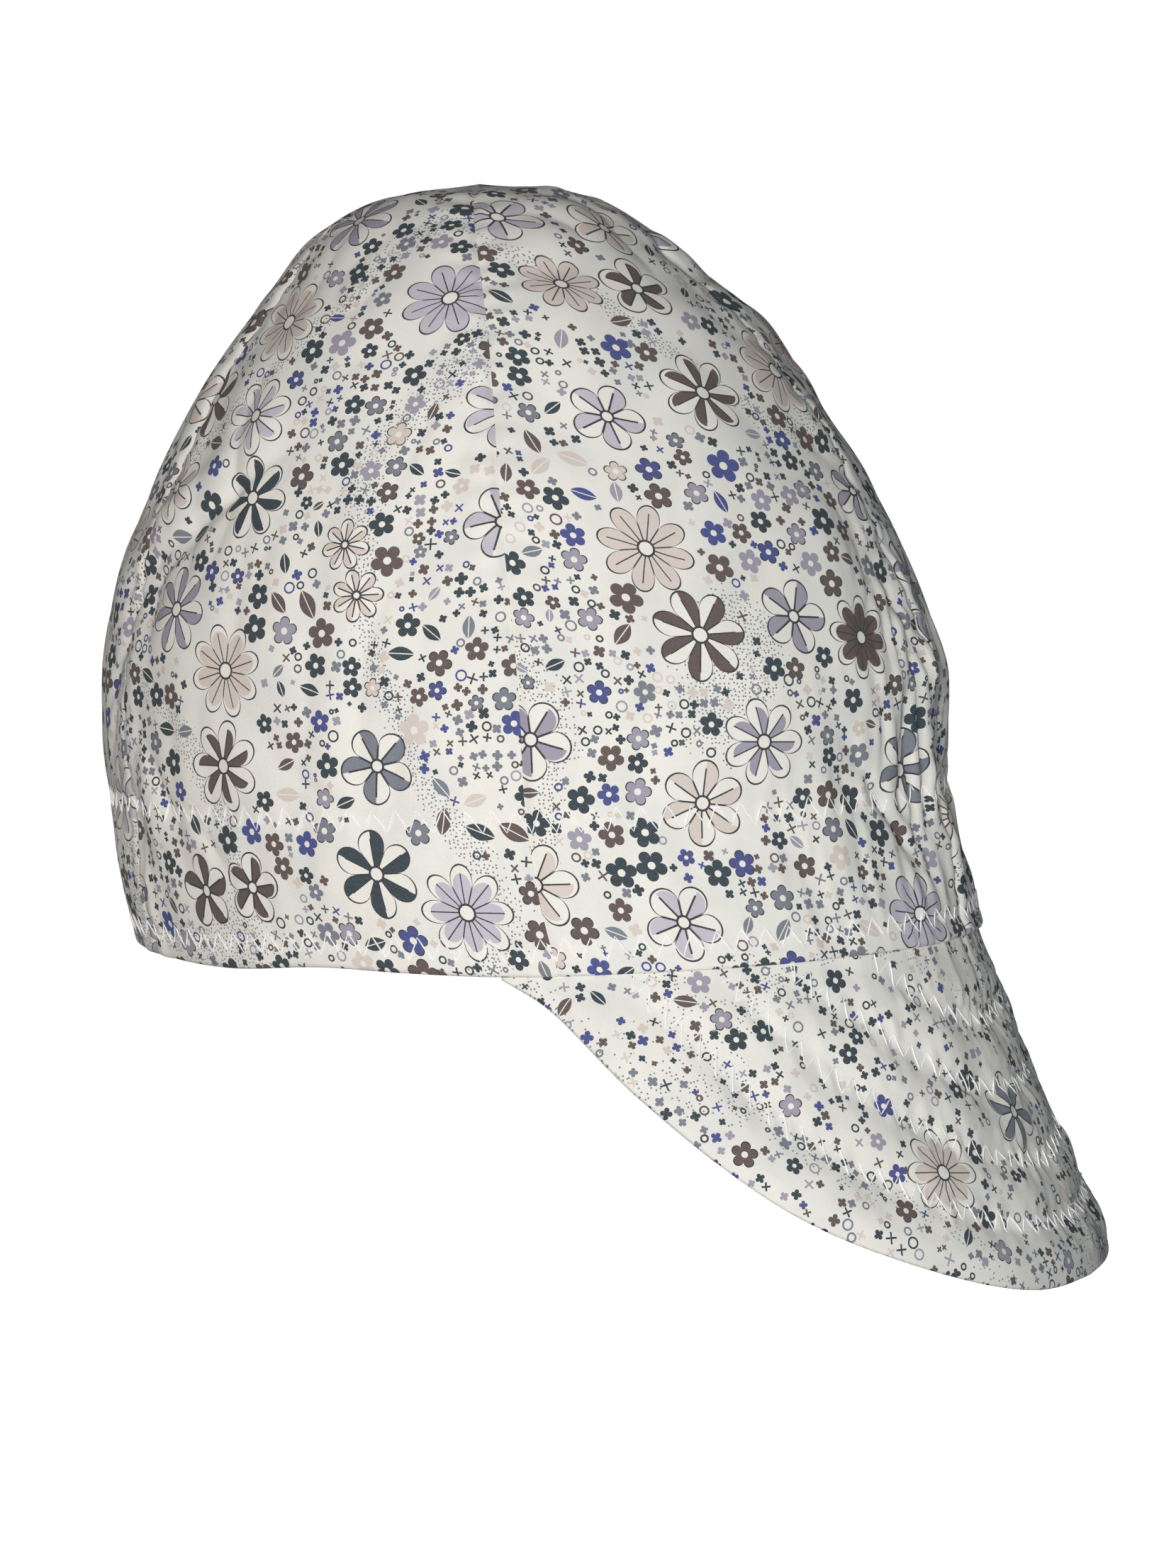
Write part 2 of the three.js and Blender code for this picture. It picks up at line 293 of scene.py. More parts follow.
# The printed motifs by size, in mm: how far apart they lie, how loosely they are strewn, their
# least and greatest radius, and the share that is printed where the cloth is bare and full.
MOTIFS = {
    "large": {"apart": 29, "loose": 0.62, "least": 8.5, "most": 12.0, "bare": 0.75, "full": 1.0},
    "middling": {"apart": 7.6, "loose": 0.62, "least": 2.4, "most": 4.4, "bare": 0.50, "full": 1.0},
    "small": {"apart": 2.8, "loose": 0.64, "least": 1.0, "most": 1.75, "bare": 1.0, "full": 1.0},
}
# The share of them on the bill, which is cut from a barer stretch of the cloth.
BILL_SHARES = {"large": 0.35, "middling": 0.25, "small": 0.55, "dots": 0.35}
# How long the clumps of motifs are, in mm, and where the cloth turns from bare to full.
CLUMP = 38
CLUMP_EDGES = (0.38, 0.6)
# The room left free round a larger motif, in mm, and the width of the outlines.
CLEAR = {"large": 2.4, "large_to_small": 1.2, "middling_to_small": 1.0}
LINE = {"large": 0.42, "middling": 0.3, "small": 0.42, "cross": 0.42}
# The large blossoms: their least count of petals and how many more there may be, the waist
# between two petals as a share of their reach, how far out a petal is tinted, the share of
# blossoms with half of each petal tinted, how broad the lines between petals and a petal's rib
# are, in mm, how far out and how near a petal's middle the rib runs, and the size of the heart, as
# a share of the radius, and of its ring, in mm.
LARGE = {
    "petals": 5,
    "more_petals": 3.99,
    "waist": 0.5,
    "tint": (0.78, 1.1),
    "half_tinted": 0.72,
    "between": 0.6,
    "rib": 1.1,
    "rib_out": 0.8,
    "rib_near": 0.4,
    "heart": 0.19,
    "heart_ring": 0.5,
}
# The middling motifs: a blossom's petals, waist and heart, the share of leaves, the chance up to
# which a blossom is outlined, a leaf's breadth as a share of its length and half the width of its
# rib, in mm.
MIDDLING = {
    "petals": 5,
    "waist": 0.52,
    "heart": 0.24,
    "leaves": 0.26,
    "outlined": 0.6,
    "leaf_breadth": 0.5,
    "leaf_rib": 0.11,
}
# The small motifs: a bud's petals and waist, and the chances up to which a motif is a bud and a
# cross. The rest are rings.
SMALL = {"petals": 4, "waist": 0.4, "buds": 0.6, "crosses": 0.84}
# How a petal narrows towards its tip. The lower it is, the blunter the petal.
PETAL_TAPER = 0.55
# What a motif's first chance is multiplied by for a second one: whether it is printed, its ink and
# its turn.
AGAIN = {"printed": 7.7, "ink": 5.3, "leaf_turn": 37, "cross_turn": 29}
# How much the small motifs' inks change from one clump to another and within a clump.
INK_DRIFT = {"clumps": 2.4, "within": 0.55}
# The inks that the motifs of each size are printed in, by chance.
MOTIF_INKS = {
    "large": "blush lavender pale blush slate taupe blush navy lavender blush".split(),
    "middling": "navy lavender taupe slate navy blue blush taupe navy slate".split(),
    "small": "slate navy taupe navy lavender blue taupe navy blush navy slate".split(),
}
# The fine dots: how far apart they lie and their radius, in mm, how loosely they are strewn, at
# which level of a drifting pattern their bands lie, and between which distances from it they thin.
STIPPLE = {"apart": 0.95, "dot": 0.21, "loose": 0.75, "level": 0.56, "thins": (0.015, 0.05)}
# The cloth: how long its uneven places are, in mm, and the levels between which they show, how much
# the slubs add to the twill, the heights at which ink is lost on the raised threads and by how
# much, and the heights up to which painted shade darkens the sunk threads and by how much: the
# shade that falls between the threads, painted into the cloth's colour.
UNEVEN = {"long": 17, "shows": (0.4, 0.68)}
SLUB = {"long": 0.625, "adds": 0.6}
INK_LOST = {"heights": (0.85, 1.5), "share": 0.17}
SUNK_SHADE = {"heights": (0.3, 0.9), "share": 0.13}
# The radius of the fan in which the bill's cloth is cut, in mm.
BILL_FAN = 341

# The bill's quilting: how far each row of stitches lies inside the rim at the front, in mm, and
# how much further in it lies at the ends.
QUILT_ROWS = table("front further", (13.8, 6.5), (28.5, 15.0), (46.0, 15.0), (62.5, 18.0))
# Where the quilting begins below the hem and inside the rim, and how far beside a row the padding
# rises to its full height, in metres.
ROOT_FADE = (0.002, 0.010)
RIM_FADE = (0, 0.008)
PILLOW_RISE = (0.002, 0.008)
# How wide and how long the puckers beside the bill's rows are, in metres, and the bill's radius at
# the rows as a share of its length.
QUILT_PUCKER = (0.0056, 0.014)
RIM_SPREAD = 1.4
# How high the puckers are at the ends of the rows, how much more at the front, and between which
# places that grows, as the cosine of the angle from the front.
QUILT_DRAWN = {"least": 0.6, "front": 0.8}
QUILT_FACING = (0.4, 0.95)
# The rows of stitches round the crown: how far each lies above the hem, in mm.
HEM_ROWS = (6, 34)
# How close the points of the guide lines lie, round the crown in degrees and as a count along a
# row of the bill, and how far below the hem a row of the bill ends, in mm.
HEM_GUIDE_STEP = 0.4
BILL_GUIDE_POINTS = 720
ROW_END = 0.6
# The seeds of the rows of stitches outside. Those inside have the next one.
SEEDS = {"hem": 3, "bill": 7}
# How far the thread of a slack leg and of a tight one stands up in its middle, and how thick it
# looks, how deep the needle holes lie, all as shares of its thickness, and how many sides it has.
STANDS = (0.95, 0.22)
LOOKS = (1.0, 0.52)
HOLE_DEPTH = 0.3
THREAD_SIDES = 6

# The photograph's view: the camera's place round the cap, its roll, in degrees, its distance from
# the target on the cap's axis, and where it aims beside the target, in metres. The lens is in mm.
VIEW = {
    "azimuth": 68,
    "elevation": 4,
    "roll": 1.5,
    "distance": 1.3,
    "target": 0.06,
    "aim_right": 0.0085,
    "aim_up": -0.0261,
    "lens": 126.94,
}
# The lamps: where each stands from the target as the camera sees it, and its size, in metres.
# The power is in watts.
LAMPS = {
    "key": dict(right=-0.1, up=-0.03, toward=1.32, size=0.3, power=14.4, tint=(1, 0.99, 0.97)),
    "warm": dict(right=-1.0, up=-0.25, toward=0.85, size=0.6, power=0.95, tint=(1, 0.88, 0.72)),
    "cool": dict(right=0.9, up=-0.1, toward=0.85, size=0.6, power=0.8, tint=(0.6, 0.86, 1)),
    "behind": dict(right=-0.1, up=0.1, toward=-1.5, size=0.8, power=15.0, tint=(0.97, 0.98, 1)),
}
# Half the width of the floor and how far it lies below the hem, in metres.
FLOOR_REACH = 9.0
FLOOR_DROP = 0.3
# How bright the white room is that the cap stands in.
ROOM_LIGHT = 0.11


def linear(hex_colour):
    """An sRGB hex colour as linear red, green and blue."""
    parts = [int(hex_colour[place : place + 2], 16) / 255 for place in (1, 3, 5)]
    return [part / 12.92 if part <= 0.04045 else ((part + 0.055) / 1.055) ** 2.4 for part in parts]


def length(name, size_mm, description):
    """A length that a user may change."""
    return bpy.props.FloatProperty(
        name=name, description=description, default=size_mm * MM, subtype="DISTANCE", precision=4
    )


def share(name, value, description):
    """A share that a user may change."""
    return bpy.props.FloatProperty(name=name, description=description, default=value)


def slope(name, degrees, description):
    """An angle that a user may change."""
    return bpy.props.FloatProperty(
        name=name, description=description, default=math.radians(degrees), subtype="ANGLE"
    )


def colour(name, hex_colour, description):
    """A colour that a user may change."""
    return bpy.props.FloatVectorProperty(
        name=name, description=description, default=linear(hex_colour), subtype="COLOR", min=0, max=1
    )


class CapCrown(bpy.types.PropertyGroup):
    """Sizes of the crown's cloth."""

    hem_length: length("Hem length", 204, "Head opening from front to back")
    hem_width: length("Hem width", 167, "Head opening from side to side")
    height: length("Height", 175, "From the hem to the top")
    thickness: length("Cloth", 1.2, "Thickness of the crown's wall")
    puff: length("Puff", 1.4, "How far a gore stands out between its seams")
    fold_depth: length("Folds", 2.6, "Depth that the table of folds is a share of")
    tongue: length("Hem hold", 9, "How far up from the hem the wall stands square to it")
    hold: length("Fold start", 38, "How far up from the hem the folds have their full depth")
    seam_groove: length("Seam groove", 0.75, "Depth of the groove at a seam")
    seam_width: length("Groove width", 1.1, "Half width of the groove at a seam")
    allowance: length("Seam allowance", 8, "Width of the cloth turned under at a seam")
    allowance_rise: length("Allowance rise", 0.3, "How far the turned cloth lifts the wall")
    allowance_step: length("Allowance step", 0.42, "How far the turned cloth stands out inside")
    seam_gap: length("Seam gap", 0.02, "Room between a gore's edge and its seam")
    top_gap: length("Top gap", 0.15, "Room between the gores' points and the top")
    pucker: length("Seam pucker", 0.22, "Height of the small puckers beside a seam")
    wrinkle: share("Wrinkles", 1.0, "Share of the soft wrinkles of worn cloth")
    creasing: share("Creases", 1.5, "Share of the small creases")
    mesh_step: length("Mesh step", 1.15, "Distance between the points of the mesh")


class CapHem(bpy.types.PropertyGroup):
    """Sizes of the turned-up hem."""

    depth: length("Depth", 38, "Height of the turned-up hem inside the crown")
    thickness: length("Cloth", 1.2, "Thickness of the hem's cloth")
    gap: length("Gap", 0.3, "Room between layers that are sewn together")
    step_start: length("Step start", 2, "Where the hem steps in past the bill's tongue")
    step_length: length("Step length", 12, "Length of that step")
    gather: share("Gathers", 1.0, "Share of the gathers that the stitches draw in")
    crumple: share("Crumples", 1.0, "Share of the crumples beside the front seam")
    groove: length("Groove", 0.4, "How far a row of stitches sinks the cloth")
    seam_crease: length("Seam crease", 0.5, "Depth of the crease at a seam inside the hem")
    crease_width: length("Crease width", 0.9, "Half width of that crease")
    mesh_step: length("Mesh step", 1.265, "Distance between the points of the mesh up the hem")


class CapBill(bpy.types.PropertyGroup):
    """Sizes of the bill."""

    length: length("Length", 82.7, "From the hem to the rim at the front")
    span: slope("Span", 158, "How far round the crown the bill reaches")
    thickness: length("Thickness", 3.8, "Thickness of the padded bill")
    root: length("Root", 1.6, "Thickness of the tongue sewn into the hem")
    edge_roll: length("Edge roll", 6, "How far in from the rim the padding thins")
    rim: length("Rim", 1.8, "Thickness at the rim")
    swell: length("Swell", 11, "How far below the hem the padding is full")
    tongue: length("Tongue", 9, "Height of the tongue above the hem")
    droop_front: slope("Droop, front", 71.2, "Slope under the horizon at the front")
    droop_side: slope("Droop, side", 66, "Slope under the horizon at the ends")
    curl: slope("Curl", 3, "How much the bill flattens out towards the rim")
    splay: share("Splay", 0.82, "How far the bill spreads out sideways")
    channel: length("Channel", 0.65, "How far a row of quilting sinks the cloth")
    channel_width: length("Channel width", 3.2, "Half width of the groove along a row")
    pillow: length("Pillow", 0.45, "How far the padding stands up between the rows")
    pucker: length("Pucker", 0.34, "Height of the puckers beside a row")
    pucker_reach: length("Pucker reach", 6, "How far the puckers reach beside a row")
    tug_width: length("Tug width", 2.6, "How far beside a row the cloth is pulled by each stitch")
    swing: length("Swing", 0.3, "Height of the broad waves of the bill")
    swing_length: length("Swing length", 24, "Length of those waves")
    mesh_step: length("Mesh step", 1.05, "Distance between the points of the mesh")


class CapStitches(bpy.types.PropertyGroup):
    """Sizes of the zigzag stitches."""

    hem_width: length("Hem row width", 5.2, "Width of a zigzag row round the crown")
    hem_pitch: length("Hem pitch", 5.7, "Length of one whole zigzag round the crown")
    hem_lean: length("Hem lean", 0.9, "How far every second leg leans along a row round the crown")
    bill_width: length("Bill row width", 5.0, "Width of a zigzag row on the bill")
    bill_pitch: length("Bill pitch", 5.2, "Length of one whole zigzag on the bill")
    bill_lean: length("Bill lean", 1.6, "How far every second leg leans along a row on the bill")
    thread: length("Thread", 0.36, "Thickness of the thread")
    sunk_width: length("Sunk width", 2.4, "Half width of the groove along a row round the crown")
    hem_tug: length("Hem tug", 0.12, "How far each stitch pulls the crown's cloth in and out")
    bill_tug: length("Bill tug", 0.1, "How far each stitch pulls the bill's cloth in and out")
    bow: length("Bow", 0.28, "How far a leg bows out between its needle holes")
    stray: length("Stray", 0.18, "How far a needle hole lies out of its place")


class CapInks(bpy.types.PropertyGroup):
    """Colours of the cloth, its inks and its thread."""

    ground: colour("Ground", "#ECE9E2", "Bleached cotton of the cloth")
    shade: colour("Shade", "#E3E2DD", "Uneven places in the cloth")
    navy: colour("Navy", "#22363F", "Blue-green navy ink")
    blue: colour("Blue", "#3E4889", "Royal blue ink")
    taupe: colour("Taupe", "#5C4C48", "Taupe ink")
    slate: colour("Slate", "#777C88", "Slate grey ink")
    lavender: colour("Lavender", "#9D99AA", "Lavender grey ink")
    pale: colour("Pale lavender", "#C3BECA", "Pale lavender ink")
    blush: colour("Blush", "#D8CBC3", "Beige pink ink")
    line: colour("Line", "#2A2A30", "Ink of the outlines")
    thread: colour("Thread", "#FCFBF9", "Sewing thread")
    floor: colour("Floor", "#F2F1EF", "Paper floor of the stage")


GROUPS = {
    "cap_crown": CapCrown,
    "cap_hem": CapHem,
    "cap_bill": CapBill,
    "cap_stitches": CapStitches,
    "cap_inks": CapInks,
}


def sizes(name):
    """One group of the scene's sizes or colours."""
    return getattr(bpy.context.scene, name)


# The form of the crown and the bill


def smoothstep(value, low, high):
    """0 below low and 1 above high, with a smooth rise between."""
    part = np.clip((value - low) / (high - low), 0, 1)
    return part * part * (3 - 2 * part)


def bell(value, middle, width):
    """1 at the middle, falling away smoothly over the width on both sides."""
    return np.exp(-(((value - middle) / width) ** 2))


def column_curve(rows, key, value):
    """A smooth curve through one column of a table. Its slopes are the means of the chords'."""
    places = rows[key]
    values = rows[value]
    chords = np.diff(values) / np.diff(places)
    slopes = np.concatenate([chords[:1], (chords[1:] + chords[:-1]) / 2, chords[-1:]])

    def curve(place):
        place = np.clip(place, places[0], places[-1])
        row = np.clip(np.searchsorted(places, place, side="right") - 1, 0, len(places) - 2)
        step = places[row + 1] - places[row]
        part = (place - places[row]) / step
        rest = 1 - part
        start = (1 + 2 * part) * rest**2 * values[row] + part * rest**2 * step * slopes[row]
        end = part**2 * (3 - 2 * part) * values[row + 1] - part**2 * rest * step * slopes[row + 1]
        return start + end

    return curve


@functools.lru_cache
def profile(hem_length, hem_width, height, steps=60):
    """The crown's profile from hem to top as mean radius, height and shift to the back, with
    the length of cloth up to each point."""
    knots = np.stack(
        [
            CROWN_LEVELS["reach"] * (hem_length + hem_width) / 4,
            CROWN_LEVELS["rise"] * height,
            CROWN_LEVELS["lean"] * hem_length / 2,
        ],
        axis=1,
    )
    knots = np.vstack([2 * knots[0] - knots[1], knots, 2 * knots[-1] - knots[-2]])
    spans = np.linalg.norm(np.diff(knots, axis=0), axis=1) ** 0.5
    part = np.linspace(0, 1, steps, endpoint=False)[:, None]
    runs = []
    for row in range(1, len(knots) - 2):
        before, here, after, beyond = knots[row - 1 : row + 3]
        first, middle, last = spans[row - 1 : row + 2]
        here_on = (after - here) / middle
        leaving = (here - before) / first - (after - before) / (first + middle) + here_on
        arriving = here_on - (beyond - here) / (middle + last) + (beyond - after) / last
        runs.append(
            (2 * part**3 - 3 * part**2 + 1) * here
            + (part**3 - 2 * part**2 + part) * middle * leaving
            + (3 * part**2 - 2 * part**3) * after
            + (part**3 - part**2) * middle * arriving
        )
    points = np.vstack([*runs, knots[-2:-1]])
    lengths = np.concatenate([[0], np.cumsum(np.linalg.norm(np.diff(points, axis=0), axis=1))])
    return points, lengths


def meridian():
    """The profile at the crown's present sizes."""
    crown = sizes("cap_crown")
    return profile(crown.hem_length, crown.hem_width, crown.height)


def cloth_height():
    """Length of cloth from the hem to the top."""
    return meridian()[1][-1]


def mean_radius():
    """Mean radius of the head opening."""
    crown = sizes("cap_crown")
    return (crown.hem_length + crown.hem_width) / 4


def crown_level(along):
    """Half length, half width, height and shift to the back of the crown at a place up the cloth."""
    crown = sizes("cap_crown")
    points, lengths = meridian()
    place = np.clip(along, 0, 1) * lengths[-1]
    radius, height, back = (np.interp(place, lengths, points[:, axis]) for axis in range(3))
    reach = radius / mean_radius()
    broad = column_curve(CROWN_LEVELS, "rise", "broad")(height / crown.height)
    return crown.hem_length / 2 * reach, crown.hem_width / 2 * reach * broad, height, back


def smooth_crown(angle, along):
    """A point of the crown before its folds. The hem's edge hangs a little unevenly."""
    long, wide, height, back = crown_level(along)
    turned = np.radians(angle)
    drop = column_curve(HEM_DROP, "angle", "drop")(np.asarray(angle) % 360) * MM
    height = height - drop * (1 - smoothstep(height, 0, HEM_DROP_REACH * MM))
    return np.stack([wide * np.sin(turned), back - long * np.cos(turned), height + 0 * turned], axis=-1)


def unit(vectors):
    """Vectors made one long."""
    return vectors / np.linalg.norm(vectors, axis=-1, keepdims=True)


def crown_normal(angle, along, turn=0.5, climb=0.004):
    """Outward direction of the crown. It is level at the hem, so that the hem's edge is square."""
    around = smooth_crown(angle + turn, along) - smooth_crown(angle - turn, along)
    low = np.maximum(0, along - climb)
    upward = smooth_crown(angle, low + 2 * climb) - smooth_crown(angle, low)
    normal = unit(np.cross(around, upward))
    normal[..., 2] *= smoothstep(along * cloth_height(), 0, sizes("cap_crown").tongue)
    return unit(normal)


def turned_from(angle, place=0):
    """How far round the crown an angle lies from a place, the shorter way, in degrees."""
    return (angle - place + 180) % 360 - 180


def fold_relief(rows, angle, along):
    """How far a table's folds move the cloth out, as a share of the fold depth."""
    height = sizes("cap_crown").height
    moved = np.zeros(np.broadcast(angle, along).shape)
    for row in range(len(rows["angle"])):
        fold = {name: rows[name][row] for name in rows}
        across = np.radians(turned_from(angle, fold["angle"])) * mean_radius()
        upward = (along - fold["along"]) * cloth_height()
        lean = math.radians(fold["turn"])
        along_fold = upward * math.cos(lean) + across * math.sin(lean)
        across_fold = across * math.cos(lean) - upward * math.sin(lean)
        half_length = fold["length"] * height / 2
        width = fold["width"] * height
        moved += fold["depth"] * np.exp(-((along_fold / half_length) ** 2) - (across_fold / width) ** 2)
    return moved


def waves(points, wavelength, seed, count=26):
    """Smooth seeded relief, mostly between -1 and 1, with waves about one wavelength long."""
    random = np.random.default_rng(int(seed))
    directions = unit(random.normal(size=(count, points.shape[-1])))
    pulls = directions * (2 * math.pi / (wavelength * random.uniform(*WAVE_SPREAD, count)))[:, None]
    phases = random.uniform(0, 2 * math.pi, count)
    return np.sin(points @ pulls.T + phases).sum(axis=-1) * math.sqrt(1 / count)


def rumpled(rows, angle, along):
    """Relief of a table of waves. A sharp wave has round crests and narrow creases."""
    turned = np.radians(angle)
    long, wide, _, _ = crown_level(along)
    up = along * cloth_height()
    relief = 0
    for row in range(len(rows["seed"])):
        across = rows["across"][row] * MM
        place = [
            wide * np.sin(turned) / across,
            -long * np.cos(turned) / across,
            up / (rows["upward"][row] * MM),
        ]
        wave = waves(np.stack(np.broadcast_arrays(*place), axis=-1), 1, rows["seed"][row])
        creased = CREASED[0] * np.abs(wave) - CREASED[1]
        wave = wave + (creased - wave) * rows["sharp"][row]
        relief = relief + wave * rows["height"][row] * MM
    return relief


def seam_distance(angle, along):
    """Distance round the crown to the nearest seam, and that seam's number."""
    long, wide, _, _ = crown_level(along)
    turned = np.radians(turned_from(np.asarray(angle)[..., None], SEAMS))
    seams = np.radians(SEAMS)
    sideways = np.asarray(wide)[..., None] * np.cos(seams)
    lengthways = np.asarray(long)[..., None] * np.sin(seams)
    stretch = np.hypot(sideways, lengthways)
    distance = np.abs(turned) * stretch
    return distance.min(axis=-1), distance.argmin(axis=-1)


def cut_relief(angle, along):
    """The puff of the gores and the folds that the packed model has."""
    crown = sizes("cap_crown")
    turned = angle % 360
    edges = np.append(SEAMS, 360)
    gore = np.clip(np.searchsorted(edges, turned, side="left"), 1, len(SEAMS))
    part = (turned - edges[gore - 1]) / (edges[gore] - edges[gore - 1])
    puff = crown.puff * column_curve(PUFF_LEVELS, "along", "puff")(along) * np.sin(math.pi * part)
    hold = smoothstep(along * cloth_height(), crown.tongue, crown.hold)
    return puff + fold_relief(FOLDS, angle, along) * crown.fold_depth * hold


def seam_relief(angle, along):
    """The seams: their groove, the cloth turned under beside it and its small puckers."""
    crown = sizes("cap_crown")
    up = along * cloth_height()
    away, seam = seam_distance(angle, along)
    groove = crown.seam_groove * bell(away, 0, crown.seam_width)
    thins_from, thins_to = (part * crown.allowance for part in ALLOWANCE_EDGE)
    turned_under = crown.allowance_rise * (1 - smoothstep(away, thins_from, thins_to))
    drift = PUCKERS["sway"] * np.sin(up / (PUCKERS["drift"] * MM) + seam)
    shift = PUCKERS["offset"] * seam + drift
    ripple = np.sin(2 * math.pi * up / (PUCKERS["apart"] * MM) + shift)
    pucker = crown.pucker * ripple * bell(away, PUCKERS["beside"] * MM, PUCKERS["reach"] * MM)
    return turned_under - groove + pucker


def gather_relief(angle, along):
    """The gathers that the hem's stitches and the front seam draw in, closest at the front."""
    hem = sizes("cap_hem")
    up = along * cloth_height()
    facing = np.cos(np.radians(angle))
    at_front = smoothstep(facing, *FRONT_FACING)
    at_back = smoothstep(-facing, *BACK_FACING)
    drawn = DRAWN["least"] + np.maximum(DRAWN["front"] * at_front, DRAWN["back"] * at_back)
    in_hem = drawn * bell(up, *HEM_REACH)
    on_brow = DRAWN["brow"] * at_front * bell(up, *BROW_REACH)
    gathered = hem.gather * rumpled(GATHERS, angle, along) * (in_hem + on_brow)
    from_front = np.radians(turned_from(angle)) * mean_radius()
    by_seam = bell(from_front, *CRUMPLE_SPREAD) * bell(up, *CRUMPLE_REACH)
    return gathered + hem.crumple * rumpled(CRUMPLES, angle, along) * by_seam


def sewn_relief(angle, along):
    """The small relief of sewn and worn cloth. It dies out where the gores meet at the top."""
    crown = sizes("cap_crown")
    hem = sizes("cap_hem")
    stitches = sizes("cap_stitches")
    up = along * cloth_height()
    full = smoothstep(crown_level(along)[0], *TOP_FADE)
    wrinkle = crown.wrinkle * rumpled(WRINKLES, angle, along) * smoothstep(up, *WRINKLE_START)
    worn = crown.creasing * fold_relief(CREASES, angle, along) + fold_relief(DENTS, angle, along)
    crease = worn * crown.fold_depth * smoothstep(up, *CREASE_START)
    rows = sum(bell(up, row * MM, stitches.sunk_width) for row in HEM_ROWS)
    pulled = np.sin(2 * math.pi * np.radians(angle) * mean_radius() / stitches.hem_pitch)
    along_rows = rows * (stitches.hem_tug * pulled - hem.groove)
    taut = full * (seam_relief(angle, along) + wrinkle + crease)
    return taut + gather_relief(angle, along) + along_rows


def crown_skin(angle, along, depth, sewn=1.0):
    """A point of the crown at a depth under its outer face, with its outward direction."""
    angle, along = np.broadcast_arrays(np.asarray(angle, float), np.asarray(along, float))
    normal = crown_normal(angle, along)
    relief = cut_relief(angle, along) + sewn * sewn_relief(angle, along)
    return smooth_crown(angle, along) + normal * np.asarray(relief - depth)[..., None], normal


def band_cover(angle, along):
    """How far the turned-up hem lies under the crown's outer face, with room for the tongue."""
    crown = sizes("cap_crown")
    hem = sizes("cap_hem")
    bill = sizes("cap_bill")
    from_front = np.radians(np.abs(turned_from(angle)))
    past_end = (from_front - bill.span / 2) * mean_radius()
    past_top = along * cloth_height() - bill.tongue
    beside = 1 - smoothstep(past_end, hem.step_start, hem.step_start + hem.step_length)
    below = 1 - smoothstep(past_top, hem.step_start, hem.step_start + hem.step_length)
    return crown.thickness + hem.gap + (bill.root + hem.gap) * beside * below


def headed(heading):
    """A level direction by its heading from the front, towards the wearer's left."""
    return np.stack([np.sin(heading), -np.cos(heading), 0 * heading], axis=-1)


def bill_length(angle):
    """Length of the bill at a place round the crown, in degrees."""
    bill = sizes("cap_bill")
    side = np.abs(angle) / math.degrees(bill.span / 2)
    return bill.length * column_curve(BILL_OUTLINE, "side", "length")(side)


def bill_face(angle, down, sewn=0.0):
    """A point of the bill's outer face before its quilting. down is the cloth below the hem."""
    crown = sizes("cap_crown")
    bill = sizes("cap_bill")
    cover = crown.thickness + sizes("cap_hem").gap
    along = np.maximum(0, -down) / cloth_height()
    tongue = crown_skin(angle, along, cover, sewn=0.0)[0]
    hanging = np.maximum(0, down)
    flow = sewn * sewn_relief(angle, along) * np.exp(-hanging / FLOW_REACH)
    turned = np.radians(angle)
    outward = np.arctan2(np.sin(turned) / crown.hem_width, np.cos(turned) / crown.hem_length)
    base = tongue + flow[..., None] * headed(outward)
    side = np.abs(angle) / math.degrees(bill.span / 2)
    droop = bill.droop_front + (bill.droop_side - bill.droop_front) * side**DROOP_TURN
    droop = droop - bill.curl * hanging / bill.length
    step = (hanging * np.cos(droop))[..., None] * headed(outward * bill.splay)
    step[..., 2] -= hanging * np.sin(droop)
    return base + step


def bill_normal(angle, down, turn=1.0):
    """Outward direction of the bill, taken over a short stretch of it."""
    reach = sizes("cap_bill").thickness
    around = bill_face(angle + turn, down) - bill_face(angle - turn, down)
    upward = bill_face(angle, down - reach) - bill_face(angle, down + reach)
    return unit(np.cross(around, upward))


def rim_distance(angle, down, turn=0.5):
    """How far a place on the bill lies inside the rim, square to it."""
    spread = np.linalg.norm(bill_face(angle + turn, down) - bill_face(angle - turn, down), axis=-1)
    lean = (bill_length(angle + turn) - bill_length(angle - turn)) / spread
    return (bill_length(angle) - down) / np.hypot(1, lean)


def row_inset(row, angle):
    """How far inside the rim a row of quilting lies."""
    side = np.abs(angle) / math.degrees(sizes("cap_bill").span / 2)
    return (QUILT_ROWS["front"][row] + QUILT_ROWS["further"][row] * side) * MM


